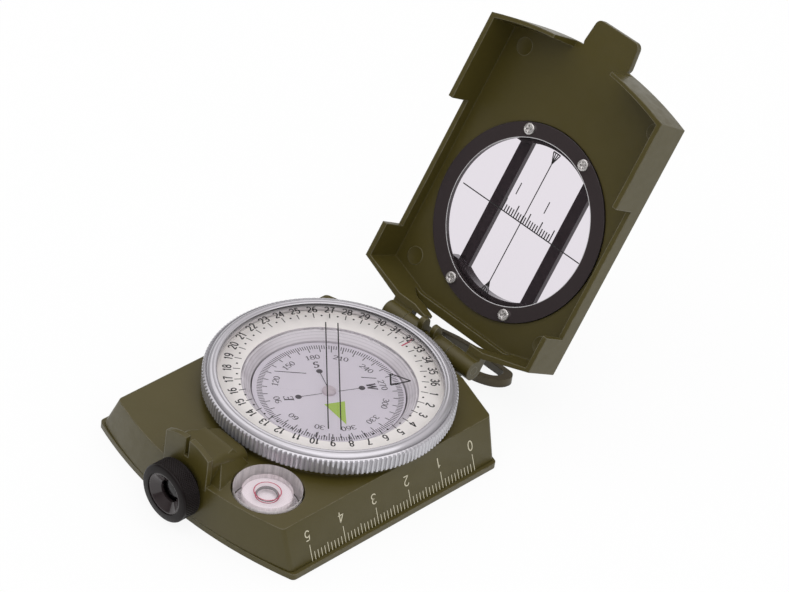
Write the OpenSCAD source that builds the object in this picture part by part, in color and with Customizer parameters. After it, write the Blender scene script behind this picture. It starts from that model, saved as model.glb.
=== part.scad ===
// Folding sighting compass, built as separate pieces in millimetres.
// The origin is the dial's axis on the underside. +Y points to the hinge, +X to the ruled edge.

/* [Case] */
// Half width of the case along its bottom edge
case_bottom_half_w = 31.9; // [30.5:0.1:33.5]
// Half width of the case along its top edge
case_top_half_w = 26.9; // [26.5:0.1:27.4]
// Height of the case's flat top
case_top_z = 11.04; // [10.9:0.02:11.1]
// How far the front edge lies ahead of the dial's axis
case_front_y = 43.3; // [43:0.1:43.6]
// Thickness of the case's walls
case_wall_t = 1.5; // [1.2:0.1:1.8]
// Thickness of the base plate
base_t = 1.5; // [1.2:0.1:1.6]

/* [Bezel and dial] */
// Outer radius of the turning bezel
bezel_r = 28.8; // [28.4:0.1:29]
// Radius of the clear glass inside the bezel's lip
glass_r = 25.5; // [25.2:0.1:25.6]
// Radius of the compass card
card_r = 17.3; // [16.8:0.05:17.35]
// Height of the card's printed face
card_top_z = 12.2; // [12:0.05:12.3]

/* [Eyepiece and level] */
// Outer radius of the eyepiece's focusing ring
eye_ring_r = 6.9; // [6.6:0.1:6.9]
// Height of the eyepiece's axis
eye_z = 7.45; // [7.4:0.05:7.6]
// Travel of the lens cell into the sleeve
eye_travel = 1.2; // [0.8:0.1:1.2]
// Outer radius of the round spirit level
level_r = 7.66; // [7.2:0.02:7.8]

/* [Lid] */
// Angle between the open lid and its closed place
lid_open_deg = 119.3; // [0:0.1:137]
// Half width of the lid
lid_half_w = 26.55; // [26.3:0.05:26.9]
// Height of the lid's tall walls above its floor
lid_wall_h = 9.68; // [9.5:0.02:9.8]
// Height of the lid's low walls beside the window
lid_low_wall_h = 3.13; // [2.8:0.01:3.2]
// Thickness of the lid's floor
lid_floor_t = 1.4; // [1.2:0.1:1.6]
// Outer radius of the ring that holds the lid's window
window_ring_r = 23.16; // [22.8:0.02:23.3]

/* [Carry loop] */
// Half width of the loop
loop_half_w = 12.3; // [11.5:0.1:13]
// Thickness of the loop
loop_t = 2.25; // [2:0.05:2.4]

/* [Hidden] */

$fn = 128;
slice_t = 0.01;
through = 1;
running_gap = 0.05;
// Height of a cutter that passes right through a thin ring
ring_cut_h = 4;

// Case
case_front_corner_y = 38.85;
case_front_bow_bottom = 0.9;
case_rear_corner_top_y = 24.8;
case_rear_corner_bottom_y = 23.5;
case_rear_y = 29.2;
case_rear_half_w = 13.5;
case_corner_r = 1.2;
case_slope = (case_bottom_half_w - case_top_half_w) / case_top_z;
case_foot_half_w = case_bottom_half_w - 0.3 - case_slope * base_t;
cavity_top_z = case_top_z - 1.4;
// Height inside the top wall from which the sight house rises
house_root_z = case_top_z - 0.7;
front_steps = 10;

// Collar on which the bezel turns
collar_r = 26.35;
collar_top_z = 14.6;
collar_foot_r = 27.3;
collar_foot_top_z = 12.3;
collar_bore_r = 24.6;
flange_seat_r = 25.4;
flange_seat_z = 12.9;
retainer_z = 13.6;
retainer_wire_r = 0.28;
retainer_mid_r = 26.37;
retainer_groove_w = 2;

// Index glass between the eyepiece and the capsule, and the ribs that hold it
index_glass_y = -27.95;
index_glass_z = 2.3;
index_glass_half_w = 4.9;
index_glass_t = 0.7;
index_rib_x = 5.2;
index_rib_y = -28.6;
index_rib_w = 1.6;
index_rib_l = 2;

// Base screws and tripod socket
screw_places = [[27, -35], [-27, -35], [26, 19.5], [-26, 19.5]];
screw_boss_r = 2.2;
screw_boss_top_z = 5.4;
screw_shank_r = 1;
screw_head_r = 1.95;
screw_head_t = 0.85;
screw_tip_z = 5;
tripod_r = 3.175;
tripod_neck_r = 4.5;
tripod_body_r = 5.6;
tripod_depth = 4.4;
tripod_top_z = 5;

// Capsule
capsule_floor_z = 5.2;
capsule_floor_t = 0.7;
capsule_r = 19.2;
chamber_r = 17.65;
chamber_rim_z = 12.5;
capsule_flange_top_z = 14;
luminous_top_z = 14.6;
luminous_inner_r = 20;
luminous_rim_r = 26.3;
luminous_rim_in_r = 25.1;
luminous_rim_top_z = 14.85;
capsule_window_r = 19.9;
capsule_window_z = 14.05;
capsule_window_t = 0.5;
pivot_tip_z = 12.1;
card_face_t = 0.4;

// Level
level_x = 15.2;
level_y = -32.5;
level_top_z = 11.5;
level_bottom_z = 5.5;
level_bore_r = 5.65;
level_fluid_top_z = 10.5;
level_plug_top_z = 9.3;
level_flange_r = 7.4;
level_flange_top_z = 6.3;
level_well_r = 8.1;
level_well_wall_t = 1.1;

// Sight block
block_half_w = 6.8;
block_front_y = -43.2;
block_plate_t = 1.4;
block_top_z = 20.1;
block_arch_r = 13.3;
slot_half_w = 0.6;
slot_bottom_z = 15.4;
house_half_w = 6.1;
house_shoulder_r = 1.4;
house_roof_z = 16.5;
house_roof_end_y = -37.7;
house_end_y = -29.6;
house_end_z = 13.7;
house_end_half_w = 5.4;
house_end_shoulder_r = 2;
house_wall_t = 1.5;
hollow_half_w = 4.6;
hollow_end_y = -32.4;
hollow_end_z = 12.4;
// Flared foot of the house: corners on the case's top, then corners high on the house
flare_foot = [[9.4, -41.3], [7.6, -35.5], [6.3, -30]];
flare_top = [[5.6, -37.9], [4.4, -33.5]];
flare_top_z = 15.6;

// Eyepiece, measured outward from the wall it stands on
eye_wall_y = -43.6;
eye_ring_front = 5.3;
eye_ring_rear = 0.7;
eye_head_r = 4.95;
eye_barrel_r = 4.5;
eye_hole_r = 2.6;
sleeve_flange_r = 6;
sleeve_spigot_r = 5.3;
sleeve_front = 2.6;
sleeve_rear = -3;
sleeve_seat = 0.1;
sleeve_bore_h = 6;

// Hinge
hinge_y = 32.58;
hinge_z = 11.4;
hinge_r = 2.4;
pin_r = 1.1;
knuckles = [[-8.2, -2.3], [0.2, 6.2]];
lid_barrels = [[-14.2, -8.3], [6.3, 13.8]];
lid_webs = [[-14.2, -8.3], [9.6, 13.8]];
web_h = 2.3;
knuckle_foot_depth = 6.6;
knuckle_top_reach = 1.92;
// Upright lugs at the inner ends of the knuckles
lugs = [[-3.7, -2.3], [0.2, 1.6]];
lug_half_w = 1.35;
lug_top_z = 16.05;

// Lid, in its own frame: y runs from the hinge to the thumb tab, z is the height above the floor
lid_floor_drop = 9.61;
lid_wall_t = 1.25;
lid_near_y = 3.2;
lid_near_half_w = 13.5;
lid_near_corner_y = 7.3;
lid_far_floor_y = 75.25;
lid_far_rim_y = 75.5;
lid_far_corner_floor_y = 70.98;
lid_far_corner_rim_y = 71.39;
lid_low_from = 16.3;
lid_low_to = 49.6;
lid_relief_half_w = 8.8;
lid_relief_l = 8;
lid_near_rim_t = 1.4;
lid_near_floor_t = 2.1;
lid_floor_bevel = 0.6;
lid_middle_wall_h = 1.5;
// Left and right ends of the near wall's opening, as distance across and height above the floor
near_cut_left = [[-15.4, 1.5], [-13.5, 3.1], [-12.3, 4.3], [-10.9, 5.2], [-9.2, 5.7], [-7.4, 5.8],
    [-5.8, 6.1], [-4.6, 6.6]];
near_cut_right = [[9.6, 9.2], [10.6, 8.3], [12.4, 6.5], [13.6, 4.8], [14.6, 3.1], [15.4, 1.5]];
near_cut_l = 8;
lid_bezel_room_r = 29.1;
lid_bezel_room_h = lid_low_wall_h;
tab_base_half_w = 7.3;
tab_tip_half_w = 6.35;
tab_tip_y = 81.8;
tab_corner_r = 1.6;

// Window in the lid
window_y = 32.11;
window_hole_r = 20.6;
window_glass_r = 20.5;
window_glass_t = 0.8;
window_seat_depth = 0.7;
window_ring_inner_r = 19.47;
window_ring_top = 0.5;
guard_inner_r = 18.4;
guard_outer_r = 22.6;
guard_depth = 4.8;
guard_half_w = 13.1;
guard_foot_y = 15.7;
guard_bar_x = 10;
guard_bar_w = 3.1;
guard_bar_t = 1.5;
ring_screw_r = 21.48;
ring_screw_deg = 23.44;
ring_screw_head_r = 1.35;
ring_screw_head_top = 1.15;
ring_screw_shank_r = 0.7;
ring_screw_tip = -4.2;

// Carry loop
loop_x = 1.15;
loop_z = 0.05;
loop_mid_y = hinge_y + 14;
loop_outer_depth = 6.4;
loop_hole_half_w = 10.1;
loop_hole_depth = 4.15;
loop_hole_mid_y = loop_mid_y - 0.8;
loop_hole_corner_r = 1.1;
loop_corner_r = 1.8;
// The loop's far side from right to left, as distance across and distance behind the hinge
loop_far_side = [[12.3, 15.95], [-0.5, 15.9], [-5.8, 15.2], [-9.9, 14.15], [-12.3, 14.05]];
loop_far_bar_w = 1.3;
loop_neck_overlap = 0.8;
loop_neck_half_w = 3.2;
loop_pin_y = 33.4;
loop_pin_z = 1.55;
loop_pin_r = 0.8;
loop_eye_r = 1.45;
loop_ear_gap = 0.1;
loop_ear_w = 1.9;

// Points of a bowed edge from -half_w to +half_w, ahead by mid_y in the middle
function bow(half_w, corner_y, mid_y) =
    [for (i = [-front_steps : front_steps])
        let (f = i / front_steps) [half_w * f, mid_y + (corner_y - mid_y) * f * f]];

// Points of half an ellipse on the side of lower y
function half_ellipse(half_w, depth, mid_y, steps = 24) =
    [for (i = [0 : steps]) let (a = 180 + 180 * i / steps) [half_w * cos(a), mid_y + depth * sin(a)]];

// A row of points and the same row mirrored, as one closed outline
function both_sides(points) =
    concat(points, [for (i = [len(points) - 1 : -1 : 0]) [-points[i][0], points[i][1]]]);

// Points of a quarter circle that rounds an upper right corner
function shoulder_arc(half_w, top_z, r, steps = 8) =
    [for (i = [0 : steps]) let (a = 90 * i / steps) [half_w - r + r * cos(a), top_z - r + r * sin(a)]];

module case_outline(half_w, corner_y, mid_y, rear_corner_y, inset = 0) {
    points = concat(
        bow(half_w - inset, -corner_y + inset, -mid_y + inset),
        [[half_w - inset, rear_corner_y - inset],
         [case_rear_half_w - inset / 2, case_rear_y - inset],
         [-case_rear_half_w + inset / 2, case_rear_y - inset],
         [-half_w + inset, rear_corner_y - inset]]);
    offset(r = case_corner_r, $fn = 32)
        offset(delta = -case_corner_r)
            polygon(points);
}

module case_shell_block(inset, from_z, to_z, foot_half_w, top_half_w) {
    hull() {
        translate([0, 0, from_z])
            linear_extrude(slice_t)
                case_outline(foot_half_w, case_front_corner_y, case_front_y + case_front_bow_bottom,
                    case_rear_corner_bottom_y, inset);
        translate([0, 0, to_z - slice_t])
            linear_extrude(slice_t)
                case_outline(top_half_w, case_front_corner_y, case_front_y, case_rear_corner_top_y, inset);
    }
}

// Draws a yz profile as a bar from x0 to x1
module along_x(x0, x1) {
    translate([x0, 0, 0])
        rotate([90, 0, 90])
            linear_extrude(x1 - x0)
                children();
}

// Turns the z axis to point forward out of the front wall, on the eyepiece's axis
module on_eyepiece_axis() {
    translate([0, eye_wall_y, eye_z])
        rotate([90, 0, 0])
            children();
}

module screw_stations() {
    for (place = screw_places)
        translate([place[0], place[1], 0])
            children();
}

module sight_block_solid() {
    // Front plate with its arched top
    translate([0, block_front_y + block_plate_t, 0])
        rotate([90, 0, 0])
            linear_extrude(block_plate_t)
                intersection() {
                    translate([-block_half_w, case_top_z - through])
                        square([2 * block_half_w, block_top_z]);
                    translate([0, block_top_z - block_arch_r])
                        circle(block_arch_r);
                }
    // House that slopes down to the bezel
    hull() {
        house_slice(block_front_y + block_plate_t, house_half_w, house_roof_z, house_shoulder_r);
        house_slice(house_roof_end_y, house_half_w, house_roof_z, house_shoulder_r);
        house_slice(house_end_y, house_end_half_w, house_end_z, house_end_shoulder_r);
    }
    // Flared foot of the house
    hull() {
        translate([0, 0, house_root_z])
            linear_extrude(case_top_z - house_root_z)
                polygon(both_sides(flare_foot));
        translate([0, 0, flare_top_z - slice_t])
            linear_extrude(slice_t)
                polygon(both_sides(flare_top));
    }
}

// Thin slice across the house with round shoulders
module house_slice(y, half_w, top_z, shoulder_r) {
    translate([0, y, 0])
        rotate([90, 0, 0])
            linear_extrude(slice_t)
                polygon(both_sides(concat(
                    [[half_w, house_root_z]], shoulder_arc(half_w, top_z, shoulder_r))));
}

module sight_block_hollow() {
    hollow_front_y = block_front_y + 2 * block_plate_t;
    along_x(-hollow_half_w, hollow_half_w)
        polygon([
            [hollow_front_y, cavity_top_z - through],
            [hollow_front_y, house_roof_z - house_wall_t],
            [house_roof_end_y - house_wall_t / 3, house_roof_z - house_wall_t],
            [hollow_end_y, hollow_end_z],
            [hollow_end_y, cavity_top_z - through]]);
}

module hinge_knuckle(x0, x1) {
    along_x(x0, x1) {
        translate([hinge_y, hinge_z])
            circle(hinge_r);
        polygon([
            [case_rear_y - case_wall_t / 2, case_top_z],
            [hinge_y - knuckle_top_reach, case_top_z],
            [hinge_y, hinge_z],
            [hinge_y + hinge_r * cos(45), hinge_z - hinge_r * sin(45)],
            [case_rear_y, hinge_z - knuckle_foot_depth],
            [case_rear_y - case_wall_t / 2, hinge_z - knuckle_foot_depth]]);
    }
}

module hinge_lug(x0, x1) {
    along_x(x0, x1) {
        translate([hinge_y - lug_half_w, hinge_z])
            square([2 * lug_half_w, lug_top_z - lug_half_w - hinge_z]);
        translate([hinge_y, lug_top_z - lug_half_w])
            circle(lug_half_w, $fn = 48);
    }
}

module loop_ear(x0) {
    ear_r = loop_pin_z - loop_z;
    ear_step = 1;
    ear_root_h = 4.5;
    along_x(x0, x0 + loop_ear_w) {
        translate([loop_pin_y, loop_pin_z])
            circle(ear_r, $fn = 48);
        polygon([
            [case_rear_y - case_wall_t / 2, base_t + loop_z],
            [case_rear_y + ear_step, base_t + loop_z],
            [case_rear_y + ear_step, loop_z],
            [loop_pin_y, loop_z],
            [loop_pin_y, loop_pin_z + ear_r],
            [case_rear_y - case_wall_t / 2, ear_root_h]]);
    }
}

module case() {
    color([0.33, 0.31, 0.2])
        difference() {
            union() {
                difference() {
                    case_shell_block(0, base_t, case_top_z, case_foot_half_w, case_top_half_w);
                    difference() {
                        case_shell_block(case_wall_t, base_t - through, cavity_top_z,
                            case_foot_half_w + case_slope, case_top_half_w + case_slope);
                        // Bosses for the base screws
                        screw_stations()
                            cylinder(r = screw_boss_r, h = screw_boss_top_z);
                        // Well of the level
                        translate([level_x, level_y, level_bottom_z - level_well_wall_t])
                            cylinder(r = level_well_r + level_well_wall_t, h = case_top_z);
                        // Slotted ribs that hold the index glass
                        for (side = [-1, 1])
                            translate([side * index_rib_x - index_rib_w / 2, index_rib_y, 0])
                                cube([index_rib_w, index_rib_l, case_top_z]);
                    }
                }
                // Collar for the bezel
                translate([0, 0, cavity_top_z])
                    cylinder(r = collar_foot_r, h = collar_foot_top_z - cavity_top_z);
                translate([0, 0, cavity_top_z])
                    cylinder(r = collar_r, h = collar_top_z - cavity_top_z);
                sight_block_solid();
                for (k = knuckles)
                    hinge_knuckle(k[0], k[1]);
                for (k = lugs)
                    hinge_lug(k[0], k[1]);
                loop_ear(loop_x - loop_neck_half_w - loop_ear_gap - loop_ear_w);
                loop_ear(loop_x + loop_neck_half_w + loop_ear_gap);
            }
            // Opening for the capsule
            translate([0, 0, cavity_top_z - through])
                cylinder(r = collar_bore_r, h = collar_top_z);
            translate([0, 0, flange_seat_z])
                cylinder(r = flange_seat_r, h = collar_top_z);
            // Groove for the retaining wire
            translate([0, 0, retainer_z])
                rotate_extrude()
                    translate([retainer_mid_r, 0])
                        translate([-retainer_wire_r - running_gap, -retainer_wire_r - running_gap])
                            square([retainer_groove_w, 2 * (retainer_wire_r + running_gap)]);
            sight_block_hollow();
            // Sighting slot
            translate([-slot_half_w, block_front_y - through, slot_bottom_z])
                cube([2 * slot_half_w, block_plate_t + through, block_top_z]);
            // Bore and seat of the eyepiece's sleeve
            on_eyepiece_axis()
                translate([0, 0, sleeve_rear - through])
                    cylinder(r = sleeve_spigot_r, h = sleeve_bore_h);
            on_eyepiece_axis()
                translate([0, 0, sleeve_seat])
                    cylinder(r = sleeve_flange_r + running_gap, h = sleeve_bore_h);
            // Level's well
            translate([level_x, level_y, level_bottom_z])
                cylinder(r = level_well_r, h = case_top_z);
            // Bores for hinge pin, loop pin and base screws
            translate([knuckles[0][0] - through, hinge_y, hinge_z])
                rotate([0, 90, 0])
                    cylinder(r = pin_r + running_gap, h = 2 * case_rear_half_w);
            translate([loop_x - loop_neck_half_w - loop_ear_w - through, loop_pin_y, loop_pin_z])
                rotate([0, 90, 0])
                    cylinder(r = loop_pin_r, h = 2 * (loop_neck_half_w + loop_ear_w + through));
            screw_stations()
                cylinder(r = screw_shank_r, h = screw_tip_z + running_gap);
            // Groove for the index glass
            translate([0, index_glass_y - running_gap, index_glass_z - 2 * running_gap])
                translate([-index_glass_half_w - 2 * running_gap, 0, 0])
                    cube([2 * index_glass_half_w + 4 * running_gap, index_glass_t + 2 * running_gap,
                        cavity_top_z - index_glass_z + 2 * running_gap]);
        }
}

module base_plate() {
    color([0.33, 0.31, 0.2])
        difference() {
            linear_extrude(base_t)
                case_outline(case_bottom_half_w, case_front_corner_y + 2 * running_gap,
                    case_front_y + case_front_bow_bottom, case_rear_corner_bottom_y);
            translate([0, 0, -through])
                cylinder(r = tripod_neck_r, h = base_t + 2 * through);
            screw_stations() {
                translate([0, 0, -through])
                    cylinder(r = screw_shank_r + running_gap, h = base_t + 2 * through);
                translate([0, 0, -through])
                    cylinder(r = screw_head_r + running_gap, h = screw_head_t + through);
            }
        }
}

module base_screws() {
    slot_w = 0.5;
    slot_d = 0.4;
    color([0.6, 0.6, 0.6])
        screw_stations()
            difference() {
                union() {
                    translate([0, 0, slice_t])
                        cylinder(r = screw_head_r, h = screw_head_t - slice_t, $fn = 48);
                    cylinder(r = screw_shank_r, h = screw_tip_z, $fn = 48);
                }
                translate([-screw_head_r - through, -slot_w / 2, -through])
                    cube([2 * (screw_head_r + through), slot_w, slot_d + through]);
            }
}

module tripod_bush() {
    color([0.75, 0.62, 0.35])
        difference() {
            union() {
                cylinder(r = tripod_neck_r, h = tripod_top_z);
                translate([0, 0, base_t])
                    cylinder(r = tripod_body_r, h = tripod_top_z - base_t);
            }
            translate([0, 0, -through])
                cylinder(r = tripod_r, h = tripod_depth + through);
        }
}

module capsule() {
    floor_top_z = capsule_floor_z + capsule_floor_t;
    cone_top_r = capsule_window_r - 0.5;
    lip_top_z = luminous_top_z - 0.05;
    color([0.8, 0.8, 0.82, 0.4])
        rotate_extrude()
            polygon([
                [0, capsule_floor_z],
                [capsule_r, capsule_floor_z],
                [capsule_r, flange_seat_z],
                [flange_seat_r, flange_seat_z],
                [flange_seat_r, capsule_flange_top_z],
                [luminous_inner_r, capsule_flange_top_z],
                [luminous_inner_r, lip_top_z],
                [capsule_window_r, lip_top_z],
                [capsule_window_r, capsule_window_z],
                [cone_top_r, capsule_window_z],
                [chamber_r, chamber_rim_z],
                [chamber_r, floor_top_z],
                [0, floor_top_z]]);
}

module capsule_window() {
    color([0.9, 0.9, 0.92, 0.3])
        translate([0, 0, capsule_window_z])
            cylinder(r = capsule_window_r, h = capsule_window_t);
}

module luminous_ring() {
    color([0.84, 0.83, 0.78])
        rotate_extrude()
            polygon([
                [luminous_inner_r, capsule_flange_top_z],
                [flange_seat_r, capsule_flange_top_z],
                [flange_seat_r, collar_top_z],
                [luminous_rim_r, collar_top_z],
                [luminous_rim_r, luminous_rim_top_z],
                [luminous_rim_in_r, luminous_rim_top_z],
                [luminous_rim_in_r, luminous_top_z],
                [luminous_inner_r, luminous_top_z]]);
}

module index_glass() {
    color([0.9, 0.9, 0.92, 0.3])
        translate([-index_glass_half_w, index_glass_y, index_glass_z])
            cube([2 * index_glass_half_w, index_glass_t, cavity_top_z - index_glass_z - 2 * running_gap]);
}

module pivot_pin() {
    foot_z = capsule_floor_z + capsule_floor_t;
    foot_r = 2;
    foot_t = 0.5;
    stem_r = 0.55;
    stem_flare_h = 0.8;
    point_h = 1.4;
    point_r = 0.06;
    color([0.7, 0.7, 0.72])
        rotate_extrude($fn = 48)
            polygon([
                [0, foot_z],
                [foot_r, foot_z],
                [foot_r, foot_z + foot_t],
                [stem_r, foot_z + stem_flare_h],
                [stem_r, pivot_tip_z - point_h],
                [point_r, pivot_tip_z],
                [0, pivot_tip_z]]);
}

module card() {
    skirt_t = 0.45;
    skirt_z = 6.4;
    hub_hole_r = 1.6;
    color([0.79, 0.77, 0.82])
        rotate_extrude()
            polygon([
                [hub_hole_r, card_top_z - card_face_t],
                [card_r - skirt_t, card_top_z - card_face_t],
                [card_r - skirt_t, skirt_z],
                [card_r, skirt_z],
                [card_r, card_top_z],
                [hub_hole_r, card_top_z]]);
}

module card_magnet() {
    bar_l = 24;
    bar_w = 4.6;
    bar_t = 1.2;
    hole_r = 1.7;
    color([0.35, 0.35, 0.36])
        translate([0, 0, card_top_z - card_face_t - bar_t])
            difference() {
                translate([-bar_l / 2, -bar_w / 2, 0])
                    cube([bar_l, bar_w, bar_t]);
                translate([0, 0, -through])
                    cylinder(r = hole_r, h = bar_t + 2 * through, $fn = 48);
            }
}

module jewel_cap() {
    cap_r = 1.55;
    top_r = 1;
    socket_r = 0.75;
    skirt_h = 1.1;
    shoulder_h = 0.6;
    top_h = 1.1;
    dome_h = 1.2;
    color([0.72, 0.6, 0.35])
        rotate_extrude($fn = 48)
            polygon([
                [0, pivot_tip_z + running_gap],
                [socket_r, pivot_tip_z - skirt_h],
                [cap_r, pivot_tip_z - skirt_h],
                [cap_r, pivot_tip_z + shoulder_h],
                [top_r, pivot_tip_z + top_h],
                [0, pivot_tip_z + dome_h]]);
}

module bezel() {
    bezel_foot_z = 12.5;
    foot_bevel = 0.3;
    shoulder_z = 16.1;
    lip_under_z = 16.97;
    pocket_r = glass_r + 0.7;
    pocket_z = 15.95;
    wire_room = retainer_wire_r + 2 * running_gap;
    bore_r = collar_r + running_gap;
    // Top of the bezel from the outer edge inward: a fine groove, then the rounded lip
    top_profile = [
        [bezel_r - 0.75, shoulder_z + 0.4],
        [bezel_r - 0.9, shoulder_z + 0.25],
        [bezel_r - 1.05, shoulder_z + 0.4],
        [glass_r + 1.7, shoulder_z + 0.85],
        [glass_r + 1.25, shoulder_z + 1.02],
        [glass_r + 0.75, shoulder_z + 1.05],
        [glass_r + 0.25, shoulder_z + 1]];
    color([0.78, 0.78, 0.8])
        rotate_extrude()
            polygon(concat(
                [[bore_r, bezel_foot_z],
                 [bezel_r - foot_bevel, bezel_foot_z],
                 [bezel_r, bezel_foot_z + foot_bevel],
                 [bezel_r, shoulder_z]],
                top_profile,
                [[glass_r, lip_under_z],
                 [pocket_r, lip_under_z],
                 [pocket_r, pocket_z],
                 [bore_r, pocket_z],
                 [bore_r, retainer_z + wire_room],
                 [retainer_mid_r + wire_room, retainer_z + wire_room],
                 [retainer_mid_r + wire_room, retainer_z - wire_room],
                 [bore_r, retainer_z - wire_room]]));
}

module crystal() {
    crystal_t = 1;
    crystal_z = 15.96;
    crystal_rim_w = 0.65;
    color([0.92, 0.93, 0.95, 0.25])
        translate([0, 0, crystal_z])
            cylinder(r = glass_r + crystal_rim_w, h = crystal_t);
}

module crystal_seal() {
    seal_z = 15.2;
    seal_t = 0.75;
    color([0.2, 0.2, 0.2])
        translate([0, 0, seal_z])
            difference() {
                cylinder(r = collar_r + running_gap, h = seal_t);
                translate([0, 0, -through])
                    cylinder(r = glass_r, h = ring_cut_h);
            }
}

module bezel_retainer() {
    color([0.65, 0.65, 0.67])
        translate([0, 0, retainer_z])
            rotate_extrude()
                translate([retainer_mid_r, 0])
                    circle(retainer_wire_r, $fn = 24);
}

module bezel_spring() {
    spring_t = 0.15;
    spring_play = 0.2;
    color([0.65, 0.65, 0.67])
        translate([0, 0, collar_foot_top_z])
            difference() {
                cylinder(r = collar_foot_r - spring_play / 2, h = spring_t);
                translate([0, 0, -through])
                    cylinder(r = collar_r + spring_play, h = ring_cut_h);
            }
}

module level_vial() {
    color([0.85, 0.88, 0.88, 0.5])
        translate([level_x, level_y, level_flange_top_z])
            difference() {
                cylinder(r = level_r, h = level_top_z - level_flange_top_z);
                translate([0, 0, -through])
                    cylinder(r = level_bore_r, h = level_fluid_top_z - level_flange_top_z + through);
            }
}

module level_plug() {
    color([0.95, 0.95, 0.93])
        translate([level_x, level_y, level_bottom_z]) {
            cylinder(r = level_flange_r, h = level_flange_top_z - level_bottom_z);
            cylinder(r = level_bore_r - running_gap, h = level_plug_top_z - level_bottom_z);
        }
}

module eyepiece_sleeve() {
    color([0.2, 0.18, 0.18])
        on_eyepiece_axis()
            rotate_extrude()
                polygon([
                    [eye_barrel_r + running_gap, sleeve_rear],
                    [sleeve_spigot_r, sleeve_rear],
                    [sleeve_spigot_r, sleeve_seat],
                    [sleeve_flange_r, sleeve_seat],
                    [sleeve_flange_r, sleeve_front],
                    [eye_barrel_r + running_gap, sleeve_front]]);
}

module eyepiece_ring() {
    rear_bevel = 0.2;
    front_bevel = 0.35;
    face_gap = 0.1;
    color([0.2, 0.18, 0.18])
        on_eyepiece_axis()
            rotate_extrude()
                polygon([
                    [sleeve_flange_r + running_gap, eye_ring_rear],
                    [eye_ring_r - rear_bevel, eye_ring_rear],
                    [eye_ring_r, eye_ring_rear + rear_bevel],
                    [eye_ring_r, eye_ring_front - front_bevel],
                    [eye_ring_r - front_bevel, eye_ring_front],
                    [eye_head_r + running_gap, eye_ring_front],
                    [eye_head_r + running_gap, sleeve_front + face_gap],
                    [sleeve_flange_r + running_gap, sleeve_front + face_gap]]);
}

module lens_cell() {
    cell_front = eye_ring_front - 0.2;
    head_rear = sleeve_front + eye_travel + 0.1;
    rim_t = 0.35;
    seat = 3;
    seat_t = 0.6;
    lens_room_r = 3.7;
    cell_rear = -5.5;
    color([0.17, 0.16, 0.16])
        on_eyepiece_axis()
            rotate_extrude()
                polygon([
                    [eye_head_r, cell_front],
                    [eye_head_r, head_rear],
                    [eye_barrel_r, head_rear],
                    [eye_barrel_r, cell_rear],
                    [lens_room_r, cell_rear],
                    [lens_room_r, seat],
                    [eye_hole_r, seat],
                    [eye_hole_r, seat + seat_t],
                    [eye_head_r - rim_t, cell_front]]);
}

module eyepiece_lens() {
    lens_r = 3.65;
    lens_rear = 0.8;
    edge_front = 1.9;
    dome_h = 1;
    steps = 8;
    color([0.8, 0.85, 0.9, 0.4])
        on_eyepiece_axis()
            rotate_extrude()
                polygon(concat(
                    [[0, lens_rear], [lens_r, lens_rear]],
                    [for (i = [0 : steps]) let (a = 90 * i / steps)
                        [lens_r * cos(a), edge_front + dome_h * sin(a)]]));
}

// Places children in the lid's frame, turned open by lid_open_deg
module in_lid() {
    translate([0, hinge_y, hinge_z])
        rotate([180 - lid_open_deg, 0, 0])
            translate([0, 0, -lid_floor_drop])
                children();
}

module lid_outline(half_w, near_y, near_corner_y, far_corner_y, far_y) {
    points = concat(
        bow(half_w, far_corner_y, far_y),
        [[half_w, near_corner_y], [lid_near_half_w, near_y],
         [-lid_near_half_w, near_y], [-half_w, near_corner_y]]);
    polygon(points);
}

module lid_tray_outside() {
    // How far the floor's outline is drawn in by its bevel: side, near end, near corners, far end
    side_in = 0.5;
    near_in = 0.3;
    far_in = 0.4;
    hull() {
        translate([0, 0, -lid_floor_t])
            linear_extrude(slice_t)
                lid_outline(lid_half_w - side_in, lid_near_y + near_in, lid_near_corner_y + far_in,
                    lid_far_corner_floor_y - far_in, lid_far_floor_y - far_in);
        translate([0, 0, lid_floor_bevel - lid_floor_t])
            linear_extrude(slice_t)
                lid_outline(lid_half_w, lid_near_y, lid_near_corner_y,
                    lid_far_corner_floor_y, lid_far_floor_y);
        translate([0, 0, lid_wall_h - slice_t])
            linear_extrude(slice_t)
                lid_outline(lid_half_w, lid_near_y, lid_near_corner_y,
                    lid_far_corner_rim_y, lid_far_rim_y);
    }
}

module lid_tray_inside() {
    // Wall thickness along the hinge axis's cross direction, at the corners and the far end
    corner_floor_t = 1.4;
    corner_rim_t = 0.5;
    far_floor_t = 1.6;
    far_corner_floor_t = 1.3;
    far_rim_t = 0.75;
    hull() {
        linear_extrude(slice_t)
            lid_outline(lid_half_w - lid_wall_t, lid_near_y + lid_near_floor_t,
                lid_near_corner_y + corner_floor_t, lid_far_corner_floor_y - far_corner_floor_t,
                lid_far_floor_y - far_floor_t);
        translate([0, 0, lid_wall_h + through])
            linear_extrude(slice_t)
                lid_outline(lid_half_w - lid_wall_t, lid_near_y + lid_near_rim_t,
                    lid_near_corner_y + corner_rim_t, lid_far_corner_rim_y - far_rim_t,
                    lid_far_rim_y - far_rim_t);
    }
}

module lid_barrel(x0, x1) {
    translate([0, 0, lid_floor_drop])
        along_x(x0, x1)
            circle(hinge_r);
}

// Joins a barrel to the lid's near wall
module lid_web(x0, x1) {
    wall_bite = 0.6;
    translate([0, 0, lid_floor_drop])
        along_x(x0, x1)
            polygon([
                [0, 0],
                [lid_near_y + wall_bite, 0],
                [lid_near_y + wall_bite, -web_h],
                [0, -web_h]]);
}

module thumb_tab() {
    reach = 1;
    linear_extrude(lid_floor_t)
        offset(r = tab_corner_r, $fn = 32)
            offset(delta = -tab_corner_r)
                polygon([
                    [-tab_base_half_w, lid_far_floor_y - reach],
                    [tab_base_half_w, lid_far_floor_y - reach],
                    [tab_tip_half_w, tab_tip_y],
                    [-tab_tip_half_w, tab_tip_y]]);
}

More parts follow.
